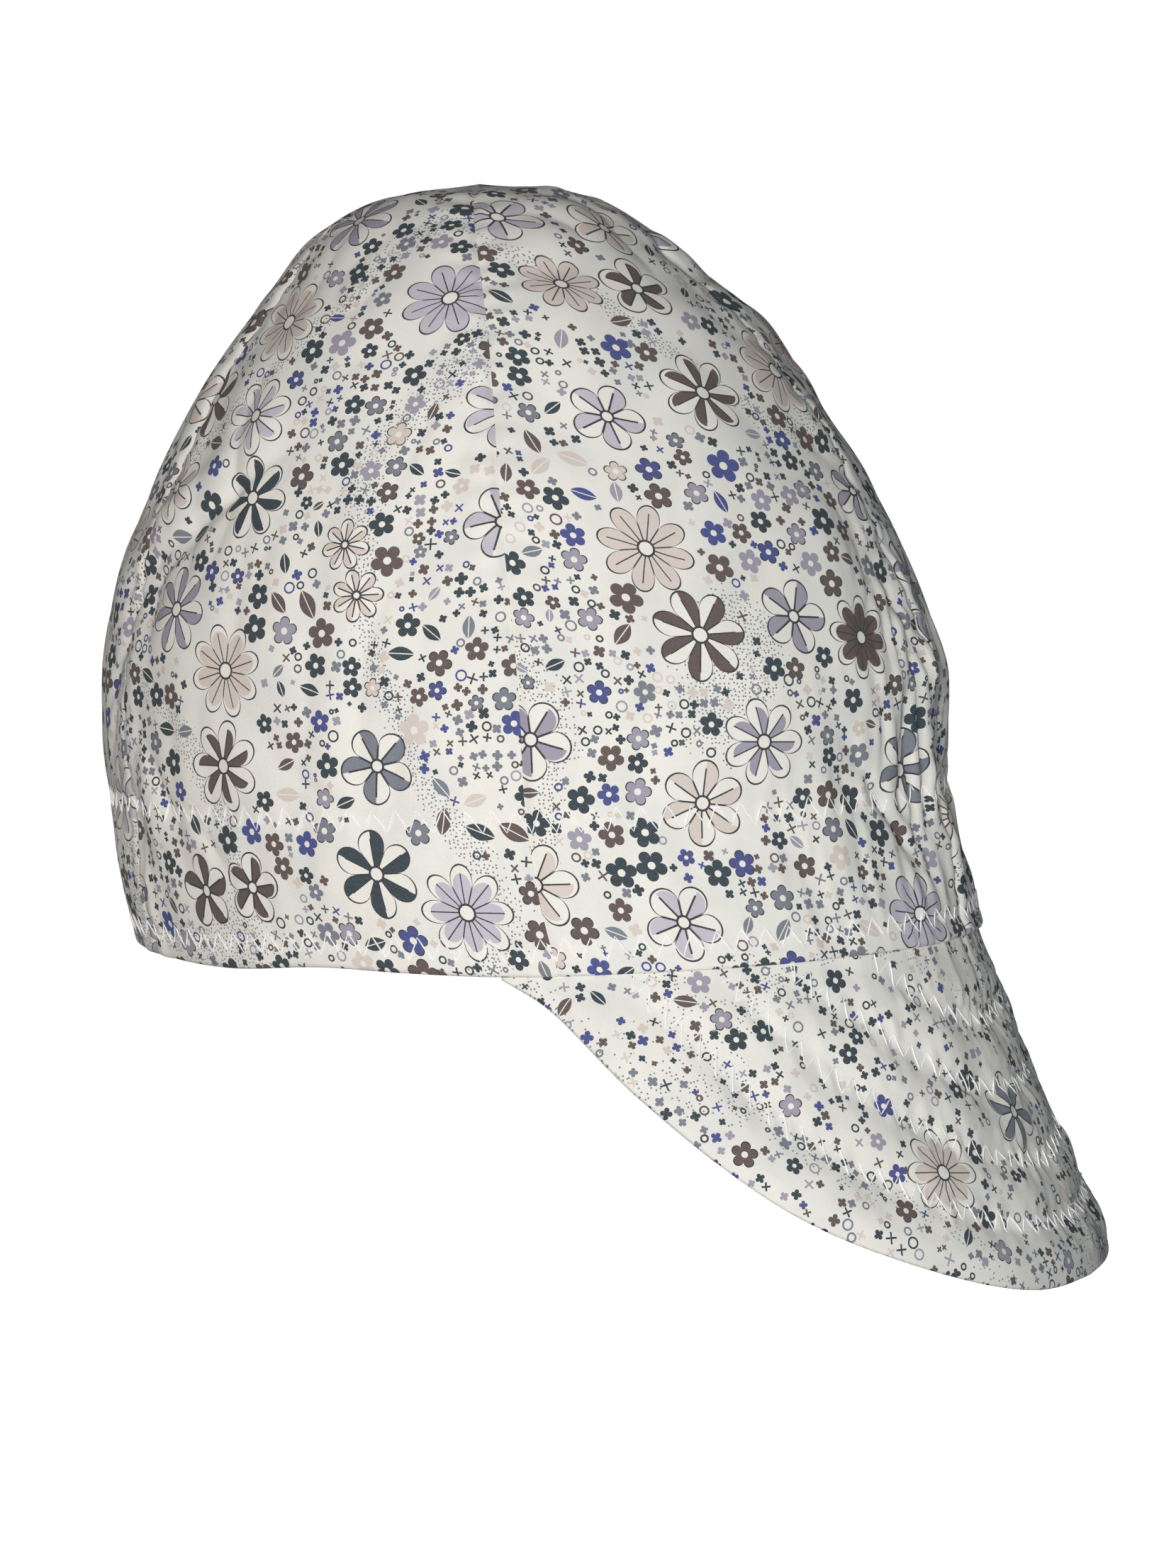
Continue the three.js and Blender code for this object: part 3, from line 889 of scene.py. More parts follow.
def bill_relief(angle, down, seed=21):
    """Quilting of the bill: channels along the rows of stitches and pillows between them."""
    bill = sizes("cap_bill")
    stitches = sizes("cap_stitches")
    inside = rim_distance(angle, down)
    fade = smoothstep(down, *ROOT_FADE) * smoothstep(inside, *RIM_FADE)
    rows = range(len(QUILT_ROWS["front"]))
    nearest = np.min([np.abs(inside - row_inset(row, angle)) for row in rows], axis=0)
    channel = bill.channel * bell(nearest, 0, bill.channel_width)
    pillow = bill.pillow * smoothstep(nearest, *PILLOW_RISE)
    round_rim = np.radians(angle) * bill.length * RIM_SPREAD
    drawn = np.stack([round_rim / QUILT_PUCKER[0], inside / QUILT_PUCKER[1]], axis=-1)
    creased = QUILT_CREASED[0] * np.abs(waves(drawn, 1, seed)) - QUILT_CREASED[1]
    at_front = smoothstep(np.cos(np.radians(angle)), *QUILT_FACING)
    height = bill.pucker * (QUILT_DRAWN["least"] + QUILT_DRAWN["front"] * at_front)
    pucker = height * creased * np.exp(-nearest / bill.pucker_reach)
    broad = bill.swing * waves(np.stack([round_rim, inside], axis=-1), bill.swing_length, seed + 1)
    pulled = np.sin(2 * math.pi * round_rim / stitches.bill_pitch)
    tug = stitches.bill_tug * pulled * bell(nearest, 0, bill.tug_width)
    return fade * (pillow - channel + pucker + broad + tug)


def bill_skin(angle, down, from_rim, inside):
    """A point of the bill on its outer or its inner face, with its outward direction."""
    bill = sizes("cap_bill")
    swollen = bill.root + (bill.thickness - bill.root) * smoothstep(down, 0, bill.swell)
    thinned = np.minimum(swollen, bill.rim)
    full = thinned + (swollen - thinned) * smoothstep(from_rim, 0, bill.edge_roll)
    radius = bill.rim / 2
    from_round = 1 - np.minimum(from_rim, radius) / radius
    rounded = np.sqrt(np.clip(1 - from_round**2, RIM_LEAST, 1))
    thickness = full * rounded
    rolled = (swollen - thickness) / 2
    normal = bill_normal(angle, down)
    puffed = bill_relief(angle, down)
    depth = rolled + thickness + UNDER_RELIEF * puffed if inside else rolled - puffed
    return bill_face(angle, down, sewn=1.0) - normal * depth[..., None], -normal if inside else normal


# Meshes


# Places of the mesh next to an edge of cloth and next to the bill's rim, in mm from it.
EDGE_STEPS = (0, 0.06, 0.25, 0.6, 1.2, 2.0, 3.2)
HEM_EDGE_STEPS = EDGE_STEPS[:-1]
RIM_STEPS = (0, 0.03, 0.12, 0.3, 0.6, 1.0, 1.8, 3.0)


def stations(total, step, close):
    """Places along a length, close together near both ends, where the cloth turns over."""
    close = np.array(close) * MM
    count = max(2, round((total - 2 * close[-1]) / step))
    middle = np.linspace(close[-1], total - close[-1], count + 1)
    return np.concatenate([close[:-1], middle, total - close[:-1][::-1]])


def wall(outer, inner, outer_uv, inner_uv, closed_round=False):
    """Points, faces, corner UVs and each face's side of a closed wall between two grids."""
    rows, columns = outer.shape[:2]
    points = np.concatenate([outer.reshape(-1, 3), inner.reshape(-1, 3)])
    uvs = np.concatenate([outer_uv.reshape(-1, 2), inner_uv.reshape(-1, 2)])
    at = np.arange(rows * columns).reshape(rows, columns)
    back = at + rows * columns
    if closed_round:
        at = np.hstack([at, at[:, :1]])
        back = np.hstack([back, back[:, :1]])

    def quads(a, b, c, d):
        return np.stack([a.ravel(), b.ravel(), c.ravel(), d.ravel()], axis=1)

    front = quads(at[:-1, :-1], at[:-1, 1:], at[1:, 1:], at[1:, :-1])
    reverse = quads(back[:-1, :-1], back[1:, :-1], back[1:, 1:], back[:-1, 1:])
    rims = [
        quads(at[0, :-1], back[0, :-1], back[0, 1:], at[0, 1:]),
        quads(at[-1, :-1], at[-1, 1:], back[-1, 1:], back[-1, :-1]),
    ]
    if not closed_round:
        rims.append(quads(at[:-1, 0], at[1:, 0], back[1:, 0], back[:-1, 0]))
        rims.append(quads(at[:-1, -1], back[:-1, -1], back[1:, -1], at[1:, -1]))
    faces = np.concatenate([front, *rims, reverse])
    sides = np.zeros(len(faces), np.int32)
    sides[-len(reverse) :] = 1
    return points, faces, uvs, sides


def make_piece(name, points, faces, uvs=None, sides=None, materials=()):
    """A smooth mesh object at the origin, with the cloth's own UVs in millimetres."""
    mesh = bpy.data.meshes.new(name)
    mesh.from_pydata(points.tolist(), [], faces.tolist())
    if uvs is not None:
        layer = mesh.uv_layers.new(name=CLOTH_UV)
        layer.data.foreach_set("uv", uvs[faces.ravel()].astype(np.float32).ravel())
    for material in materials:
        mesh.materials.append(material)
    if sides is not None:
        mesh.polygons.foreach_set("material_index", sides)
    mesh.polygons.foreach_set("use_smooth", np.ones(len(faces), bool))
    mesh.update()
    piece = bpy.data.objects.new(name, mesh)
    bpy.context.scene.collection.objects.link(piece)
    return piece


def cut_from(flat, cut):
    """The place of a flat piece on the printed cloth, in millimetres, after its shift and turn."""
    turn = math.radians(cut[2])
    spin = np.array([[math.cos(turn), math.sin(turn)], [-math.sin(turn), math.cos(turn)]])
    return flat / MM @ spin + np.array(cut[:2])


def laid_out(points, up, cut):
    """The place of each point of a grid on the printed cloth, in millimetres: across along each
    row from the row's middle, and up."""
    steps = np.linalg.norm(np.diff(points, axis=1), axis=-1)
    across = np.concatenate([np.zeros((len(points), 1)), np.cumsum(steps, axis=1)], axis=1)
    across -= across[:, across.shape[1] // 2][:, None]
    return cut_from(np.stack([across, np.broadcast_to(up, across.shape)], axis=-1), cut)


def declare(piece, slot, *nodes):
    """Ties a finished piece to the cap."""
    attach(piece, "root")
    if nodes:
        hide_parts(*nodes)


# Materials


def add(tree, kind, *inputs, **settings):
    """Adds a node with its settings. An input is a value, a node, a socket, None to leave it, or
    a dict of inputs by name."""
    node = tree.nodes.new(kind)
    for name, value in settings.items():
        setattr(node, name, value)
    open_inputs = [socket for socket in node.inputs if socket.enabled]
    wanted = []
    for place, value in enumerate(inputs):
        if isinstance(value, dict):
            named = {socket.name: socket for socket in reversed(open_inputs)}
            wanted += [(named[name], given) for name, given in value.items()]
        elif value is not None:
            wanted.append((open_inputs[place], value))
    for socket, value in wanted:
        if isinstance(value, bpy.types.Node):
            value = next(output for output in value.outputs if output.enabled)
        if isinstance(value, bpy.types.NodeSocket):
            tree.links.new(value, socket)
        else:
            socket.default_value = value
    return node


def new_material(name):
    """An empty material and its node tree."""
    material = bpy.data.materials.new(name)
    material.use_nodes = True
    material.node_tree.nodes.clear()
    return material, material.node_tree


def below(tree, value, limit):
    """1 where a value is below a limit."""
    return add(tree, "ShaderNodeMath", value, limit, operation="LESS_THAN")


def opposite(tree, mask):
    """Where the mask isn't."""
    return add(tree, "ShaderNodeMath", 1, mask, operation="SUBTRACT")


def both(tree, *masks):
    """Where all of the masks are."""
    result = masks[0]
    for mask in masks[1:]:
        result = add(tree, "ShaderNodeMath", result, mask, operation="MULTIPLY")
    return result


def inked(tree, under, ink, mask):
    """Ink over what is already printed, where the mask is."""
    layers = {"Factor": mask, "A": under, "B": ink}
    return add(tree, "ShaderNodeMix", layers, data_type="RGBA", clamp_factor=True)


def ink_choice(tree, chance, size):
    """One of the inks for motifs of a size, by a motif's chance."""
    names = MOTIF_INKS[size]
    ramp = add(tree, "ShaderNodeValToRGB", chance)
    ramp.color_ramp.interpolation = "CONSTANT"
    stops = ramp.color_ramp.elements
    while len(stops) < len(names):
        stops.new(1)
    for place, name in enumerate(names):
        stops[place].position = place / len(names)
        stops[place].color = (*getattr(sizes("cap_inks"), name), 1)
    return ramp


def drawn_again(tree, chance, times):
    """A second chance, drawn from a first one."""
    stretched = add(tree, "ShaderNodeMath", chance, times, operation="MULTIPLY")
    return add(tree, "ShaderNodeMath", stretched, operation="FRACT")


def motifs(tree, at, layer):
    """The nearest motif of a layer to a place on the cloth: the offset from its middle, how long
    that is, its radius, its chances, its middle and whether it is printed, in millimetres."""
    spread = {"Vector": at, "Scale": 1 / layer["apart"], "Randomness": layer["loose"]}
    nearest = add(tree, "ShaderNodeTexVoronoi", spread, voronoi_dimensions="2D", feature="F1")
    room = add(tree, "ShaderNodeTexVoronoi", spread, voronoi_dimensions="2D", feature="N_SPHERE_RADIUS")
    middle = nearest.outputs["Position"]
    offset = add(tree, "ShaderNodeVectorMath", at, middle, operation="SUBTRACT")
    away = add(tree, "ShaderNodeVectorMath", offset, operation="LENGTH").outputs["Value"]
    chances = add(tree, "ShaderNodeSeparateColor", nearest.outputs["Color"]).outputs
    room = add(tree, "ShaderNodeMath", room.outputs["Radius"], layer["apart"], operation="MULTIPLY")
    wide = add(tree, "ShaderNodeMapRange", chances["Blue"], 0.0, 1.0, layer["least"], layer["most"])
    radius = add(tree, "ShaderNodeMath", room, wide, operation="MINIMUM")
    clump = {"Vector": middle, "Scale": 1 / CLUMP, "Detail": 1}
    clump = add(tree, "ShaderNodeTexNoise", clump, noise_dimensions="2D")
    likely = add(tree, "ShaderNodeMapRange", clump, *CLUMP_EDGES, layer["bare"], layer["full"])
    printed = below(tree, drawn_again(tree, chances["Red"], AGAIN["printed"]), likely)
    return offset, away, radius, chances, middle, printed


def clear_of(tree, place, layer, margin):
    """Whether a smaller motif's middle is clear of the larger motifs of a layer."""
    _, away, radius, _, _, printed = motifs(tree, place, layer)
    reach = add(tree, "ShaderNodeMath", radius, margin, operation="ADD")
    return opposite(tree, both(tree, below(tree, away, reach), printed))


def petals(tree, offset, turn, count, waist):
    """How far petals reach round a motif, from the waist between two of them to 1 at a tip, how
    near a tip a place lies, and on which half of a petal."""
    parts = add(tree, "ShaderNodeSeparateXYZ", offset)
    angle = add(tree, "ShaderNodeMath", parts.outputs["Y"], parts.outputs["X"], operation="ARCTAN2")
    turned = add(tree, "ShaderNodeMath", turn, 2 * math.pi, angle, operation="MULTIPLY_ADD")
    half = add(tree, "ShaderNodeMath", count, 0.5, operation="MULTIPLY")
    phase = add(tree, "ShaderNodeMath", turned, half, operation="MULTIPLY")
    wave = add(tree, "ShaderNodeMath", phase, operation="COSINE")
    lobe = add(tree, "ShaderNodeMath", wave, operation="ABSOLUTE")
    rounded = add(tree, "ShaderNodeMath", lobe, PETAL_TAPER, operation="POWER")
    reach = add(tree, "ShaderNodeMath", rounded, 1 - waist, waist, operation="MULTIPLY_ADD")
    double = add(tree, "ShaderNodeMath", phase, 2, operation="MULTIPLY")
    halves = add(tree, "ShaderNodeMath", double, operation="SINE")
    return reach, lobe, halves


def laid_straight(tree, offset, chance, times):
    """The offset from a motif's middle along and across the motif, which its chance turns."""
    turn = add(tree, "ShaderNodeMath", chance, times, operation="MULTIPLY")
    laid = {"Vector": offset, "Angle": turn}
    laid = add(tree, "ShaderNodeVectorRotate", laid, rotation_type="Z_AXIS")
    laid = add(tree, "ShaderNodeSeparateXYZ", laid)
    return laid.outputs["X"], laid.outputs["Y"]


def large_blossoms(tree, at, under, layers):
    """Large outlined blossoms with veined petals, half of each petal tinted, 17 to 24 mm across."""
    inks = sizes("cap_inks")
    offset, away, radius, chances, _, present = motifs(tree, at, layers["large"])
    more = (LARGE["more_petals"], LARGE["petals"])
    count = add(tree, "ShaderNodeMath", chances["Blue"], *more, operation="MULTIPLY_ADD")
    count = add(tree, "ShaderNodeMath", count, operation="FLOOR")
    reach, lobe, halves = petals(tree, offset, chances["Green"], count, LARGE["waist"])
    edge = add(tree, "ShaderNodeMath", reach, radius, operation="MULTIPLY")
    inside = both(tree, below(tree, away, edge), present)
    line_from = add(tree, "ShaderNodeMath", edge, LINE["large"], operation="SUBTRACT")
    part = add(tree, "ShaderNodeMath", away, edge, operation="DIVIDE")
    margin = add(tree, "ShaderNodeMapRange", chances["Red"], 0.0, 1.0, *LARGE["tint"])
    tinted = both(tree, inside, below(tree, part, margin))
    tint = ink_choice(tree, chances["Green"], "large")
    by_halves = below(tree, chances["Blue"], LARGE["half_tinted"])
    half_petal = opposite(tree, both(tree, below(tree, 0, halves), by_halves))
    vein = add(tree, "ShaderNodeMath", away, lobe, operation="MULTIPLY")
    rib = add(tree, "ShaderNodeMath", away, halves, operation="MULTIPLY")
    rib = add(tree, "ShaderNodeMath", rib, operation="ABSOLUTE")
    between = both(tree, inside, below(tree, vein, LARGE["between"]))
    on_rib = below(tree, rib, LARGE["rib"])
    in_petal = both(tree, below(tree, part, LARGE["rib_out"]), below(tree, LARGE["rib_near"], lobe))
    ribbed = both(tree, inside, on_rib, in_petal)
    heart = add(tree, "ShaderNodeMath", radius, LARGE["heart"], operation="MULTIPLY")
    in_heart = both(tree, inside, below(tree, away, heart))
    heart_rim = add(tree, "ShaderNodeMath", heart, LARGE["heart_ring"], operation="SUBTRACT")
    in_core = both(tree, inside, below(tree, away, heart_rim))
    printed = inked(tree, under, (*inks.ground, 1), inside)
    printed = inked(tree, printed, tint, both(tree, tinted, half_petal))
    for mask in (between, ribbed, both(tree, inside, below(tree, line_from, away)), in_heart):
        printed = inked(tree, printed, (*inks.line, 1), mask)
    return inked(tree, printed, (*inks.ground, 1), in_core)


def middling_motifs(tree, at, under, layers):
    """Blossoms and leaves from 5 to 9 mm across, solid or outlined."""
    inks = sizes("cap_inks")
    offset, away, radius, chances, middle, present = motifs(tree, at, layers["middling"])
    present = both(tree, present, clear_of(tree, middle, layers["large"], CLEAR["large"]))
    reach, _, _ = petals(tree, offset, chances["Blue"], MIDDLING["petals"], MIDDLING["waist"])
    edge = add(tree, "ShaderNodeMath", reach, radius, operation="MULTIPLY")
    run, side = laid_straight(tree, offset, chances["Blue"], AGAIN["leaf_turn"])
    run = add(tree, "ShaderNodeMath", run, radius, operation="DIVIDE")
    taper = add(tree, "ShaderNodeMath", run, run, operation="MULTIPLY")
    half = add(tree, "ShaderNodeMath", 1, taper, operation="SUBTRACT")
    half = add(tree, "ShaderNodeMath", half, radius, operation="MULTIPLY")
    half = add(tree, "ShaderNodeMath", half, MIDDLING["leaf_breadth"], operation="MULTIPLY")
    side = add(tree, "ShaderNodeMath", side, operation="ABSOLUTE")
    leafy = below(tree, chances["Red"], MIDDLING["leaves"])
    blossom = both(tree, present, opposite(tree, leafy), below(tree, away, edge))
    leaf = both(tree, present, leafy, below(tree, side, half))
    rib = both(tree, leaf, below(tree, side, MIDDLING["leaf_rib"]))
    heart = add(tree, "ShaderNodeMath", radius, MIDDLING["heart"], operation="MULTIPLY")
    heart = both(tree, blossom, below(tree, away, heart))
    line_from = add(tree, "ShaderNodeMath", edge, LINE["middling"], operation="SUBTRACT")
    has_line = below(tree, chances["Red"], MIDDLING["outlined"])
    outlined = both(tree, blossom, below(tree, line_from, away), has_line)
    tint = ink_choice(tree, drawn_again(tree, chances["Red"], AGAIN["ink"]), "middling")
    printed = inked(tree, under, tint, add(tree, "ShaderNodeMath", blossom, leaf, operation="ADD"))
    for bare in (rib, heart):
        printed = inked(tree, printed, (*inks.ground, 1), bare)
    return inked(tree, printed, (*inks.line, 1), outlined)


def small_motifs(tree, at, under, layers):
    """Buds, rings and crosses from 2 to 3.5 mm across."""
    offset, away, radius, chances, middle, present = motifs(tree, at, layers["small"])
    clear = both(
        tree,
        present,
        clear_of(tree, middle, layers["large"], CLEAR["large_to_small"]),
        clear_of(tree, middle, layers["middling"], CLEAR["middling_to_small"]),
    )
    reach, _, _ = petals(tree, offset, chances["Blue"], SMALL["petals"], SMALL["waist"])
    edge = add(tree, "ShaderNodeMath", reach, radius, operation="MULTIPLY")
    laid = laid_straight(tree, offset, chances["Blue"], AGAIN["cross_turn"])
    arms = [add(tree, "ShaderNodeMath", side, operation="ABSOLUTE") for side in laid]
    arm = add(tree, "ShaderNodeMath", *arms, operation="MINIMUM")
    within = below(tree, away, radius)
    cross = both(tree, within, below(tree, arm, LINE["cross"] / 2))
    hollow = add(tree, "ShaderNodeMath", radius, LINE["small"], operation="SUBTRACT")
    ring = both(tree, within, below(tree, hollow, away))
    bud = below(tree, away, edge)
    kind = chances["Red"]
    is_bud = below(tree, kind, SMALL["buds"])
    is_cross = both(tree, below(tree, SMALL["buds"], kind), below(tree, kind, SMALL["crosses"]))
    is_ring = below(tree, SMALL["crosses"], kind)
    shape = add(tree, "ShaderNodeMath", is_bud, bud, operation="MULTIPLY")
    shape = add(tree, "ShaderNodeMath", is_cross, cross, shape, operation="MULTIPLY_ADD")
    shape = add(tree, "ShaderNodeMath", is_ring, ring, shape, operation="MULTIPLY_ADD")
    region = {"Vector": middle, "Scale": 1 / CLUMP, "Detail": 0}
    region = add(tree, "ShaderNodeTexNoise", region, noise_dimensions="2D")
    shift = add(tree, "ShaderNodeMath", region, INK_DRIFT["clumps"], operation="MULTIPLY")
    tone = (chances["Green"], INK_DRIFT["within"], shift)
    tone = add(tree, "ShaderNodeMath", *tone, operation="MULTIPLY_ADD")
    tone = add(tree, "ShaderNodeMath", tone, operation="FRACT")
    return inked(tree, under, ink_choice(tree, tone, "small"), both(tree, clear, shape))


def stipple(tree, at, under, part):
    """Fine dots in drifting bands, of which a part is printed."""
    drift = {"Vector": at, "Scale": 1 / (2 * CLUMP), "Detail": 0.5}
    drift = add(tree, "ShaderNodeTexNoise", drift, noise_dimensions="2D")
    dots = {"Vector": at, "Scale": 1 / STIPPLE["apart"], "Randomness": STIPPLE["loose"]}
    dot = add(tree, "ShaderNodeTexVoronoi", dots, voronoi_dimensions="2D", feature="F1")
    chance = add(tree, "ShaderNodeSeparateColor", dot.outputs["Color"])
    level = add(tree, "ShaderNodeMath", drift, STIPPLE["level"], operation="SUBTRACT")
    from_band = add(tree, "ShaderNodeMath", level, operation="ABSOLUTE")
    density = add(tree, "ShaderNodeMapRange", from_band, *STIPPLE["thins"], part, 0.0)
    round_dot = below(tree, dot.outputs["Distance"], STIPPLE["dot"] / STIPPLE["apart"])
    shown = both(tree, below(tree, chance, density), round_dot)
    return inked(tree, under, (*sizes("cap_inks").slate, 1), shown)


def printed_cotton(name, faded=0.0, shares=None):
    """Cotton lawn, woven fine and printed with small blossoms, leaves, rings and dots in navy,
    blue, taupe and lavender on off-white. It is matt with a faint sheen. Faded is how much of the
    print is lost, as on the wrong side of the cloth. Shares are how many of each layer's motifs
    are printed."""
    inks = sizes("cap_inks")
    layers = {}
    for size, layer in MOTIFS.items():
        part = shares[size] if shares else 1
        layers[size] = {**layer, "bare": layer["bare"] * part, "full": layer["full"] * part}
    material, tree = new_material(name)
    at = add(tree, "ShaderNodeUVMap", uv_map=CLOTH_UV)
    uneven = {"Vector": at, "Scale": 1 / UNEVEN["long"], "Detail": 3}
    uneven = add(tree, "ShaderNodeTexNoise", uneven, noise_dimensions="2D")
    uneven = add(tree, "ShaderNodeMapRange", uneven, *UNEVEN["shows"])
    ground = inked(tree, (*inks.ground, 1), (*inks.shade, 1), uneven)
    printed = stipple(tree, at, ground, shares["dots"] if shares else 1.0)
    printed = small_motifs(tree, at, printed, layers)
    printed = middling_motifs(tree, at, printed, layers)
    printed = large_blossoms(tree, at, printed, layers)
    # The twill's lines are 0.3 mm apart in the cloth, drawn at 0.45 mm so that they show. The
    # ink wears off the raised threads first.
    threads = {"Vector": at, "Scale": 1.0, "Distortion": 0.4, "Detail": 1, "Detail Scale": 1.5}
    twill = add(tree, "ShaderNodeTexWave", threads, wave_type="BANDS", bands_direction="DIAGONAL")
    slub = {"Vector": at, "Scale": 1 / SLUB["long"], "Detail": 2}
    slub = add(tree, "ShaderNodeTexNoise", slub, noise_dimensions="2D")
    height = add(tree, "ShaderNodeMath", slub, SLUB["adds"], twill, operation="MULTIPLY_ADD")
    lost = (*INK_LOST["heights"], faded, faded + INK_LOST["share"])
    lost = add(tree, "ShaderNodeMapRange", height, *lost)
    printed = inked(tree, printed, (*inks.ground, 1), lost)
    # Painted shade: the sunk threads are darkened towards slate ink, most where they lie lowest, as the
    # shade between the raised threads.
    sunk_shade = add(tree, "ShaderNodeMapRange", height, *SUNK_SHADE["heights"], SUNK_SHADE["share"], 0.0)
    woven = inked(tree, printed, (*inks.slate, 1), sunk_shade)
    bump = add(tree, "ShaderNodeBump", {"Strength": 0.3, "Distance": 0.00012, "Height": height})
    cloth = add(
        tree,
        "ShaderNodeBsdfPrincipled",
        {"Base Color": woven, "Normal": bump, "Roughness": 0.88, "IOR": 1.5},
        {"Specular IOR Level": 0.3, "Sheen Weight": 0.04, "Sheen Roughness": 0.5},
    )
    add(tree, "ShaderNodeOutputMaterial", cloth)
    return material


def spun_thread():
    """Spun polyester sewing thread, white, with a soft twist and a low sheen."""
    material, tree = new_material("spun_polyester_thread")
    at = add(tree, "ShaderNodeTexCoord").outputs["Object"]
    # The twist is about 0.2 mm long, drawn at 0.35 mm so that it shows.
    fuzz = add(tree, "ShaderNodeTexNoise", {"Vector": at, "Scale": 1 / (0.35 * MM), "Detail": 2})
    # The thread's colour darkens where the same noise that makes its bump is low: painted shade in the
    # grooves of the twist.
    tone = add(tree, "ShaderNodeMapRange", fuzz, 0.25, 0.75, 0.86, 1.0)
    white = (*sizes("cap_inks").thread, 1)
    shaded = add(tree, "ShaderNodeVectorMath", white[:3], {"Scale": tone}, operation="SCALE")
    bump = add(tree, "ShaderNodeBump", {"Strength": 0.4, "Distance": 0.00008, "Height": fuzz})
    thread = add(
        tree,
        "ShaderNodeBsdfPrincipled",
        {"Base Color": shaded, "Normal": bump, "Roughness": 0.42, "Sheen Weight": 0.3},
    )
    add(tree, "ShaderNodeOutputMaterial", thread)
    return material


def paper_floor():
    """Matt white background paper with a faint tooth."""
    material, tree = new_material("matt_background_paper")
    at = add(tree, "ShaderNodeTexCoord").outputs["Object"]
    tooth = add(tree, "ShaderNodeTexNoise", {"Vector": at, "Scale": 400, "Detail": 2})
    bump = add(tree, "ShaderNodeBump", {"Strength": 0.05, "Distance": 0.0002, "Height": tooth})
    paper = add(
        tree,
        "ShaderNodeBsdfPrincipled",
        {"Base Color": (*sizes("cap_inks").floor, 1), "Roughness": 0.95, "Normal": bump},
        {"Emission Color": (1, 1, 1, 1), "Emission Strength": 0.95},
    )
    add(tree, "ShaderNodeOutputMaterial", paper)
    return material


# Stitches


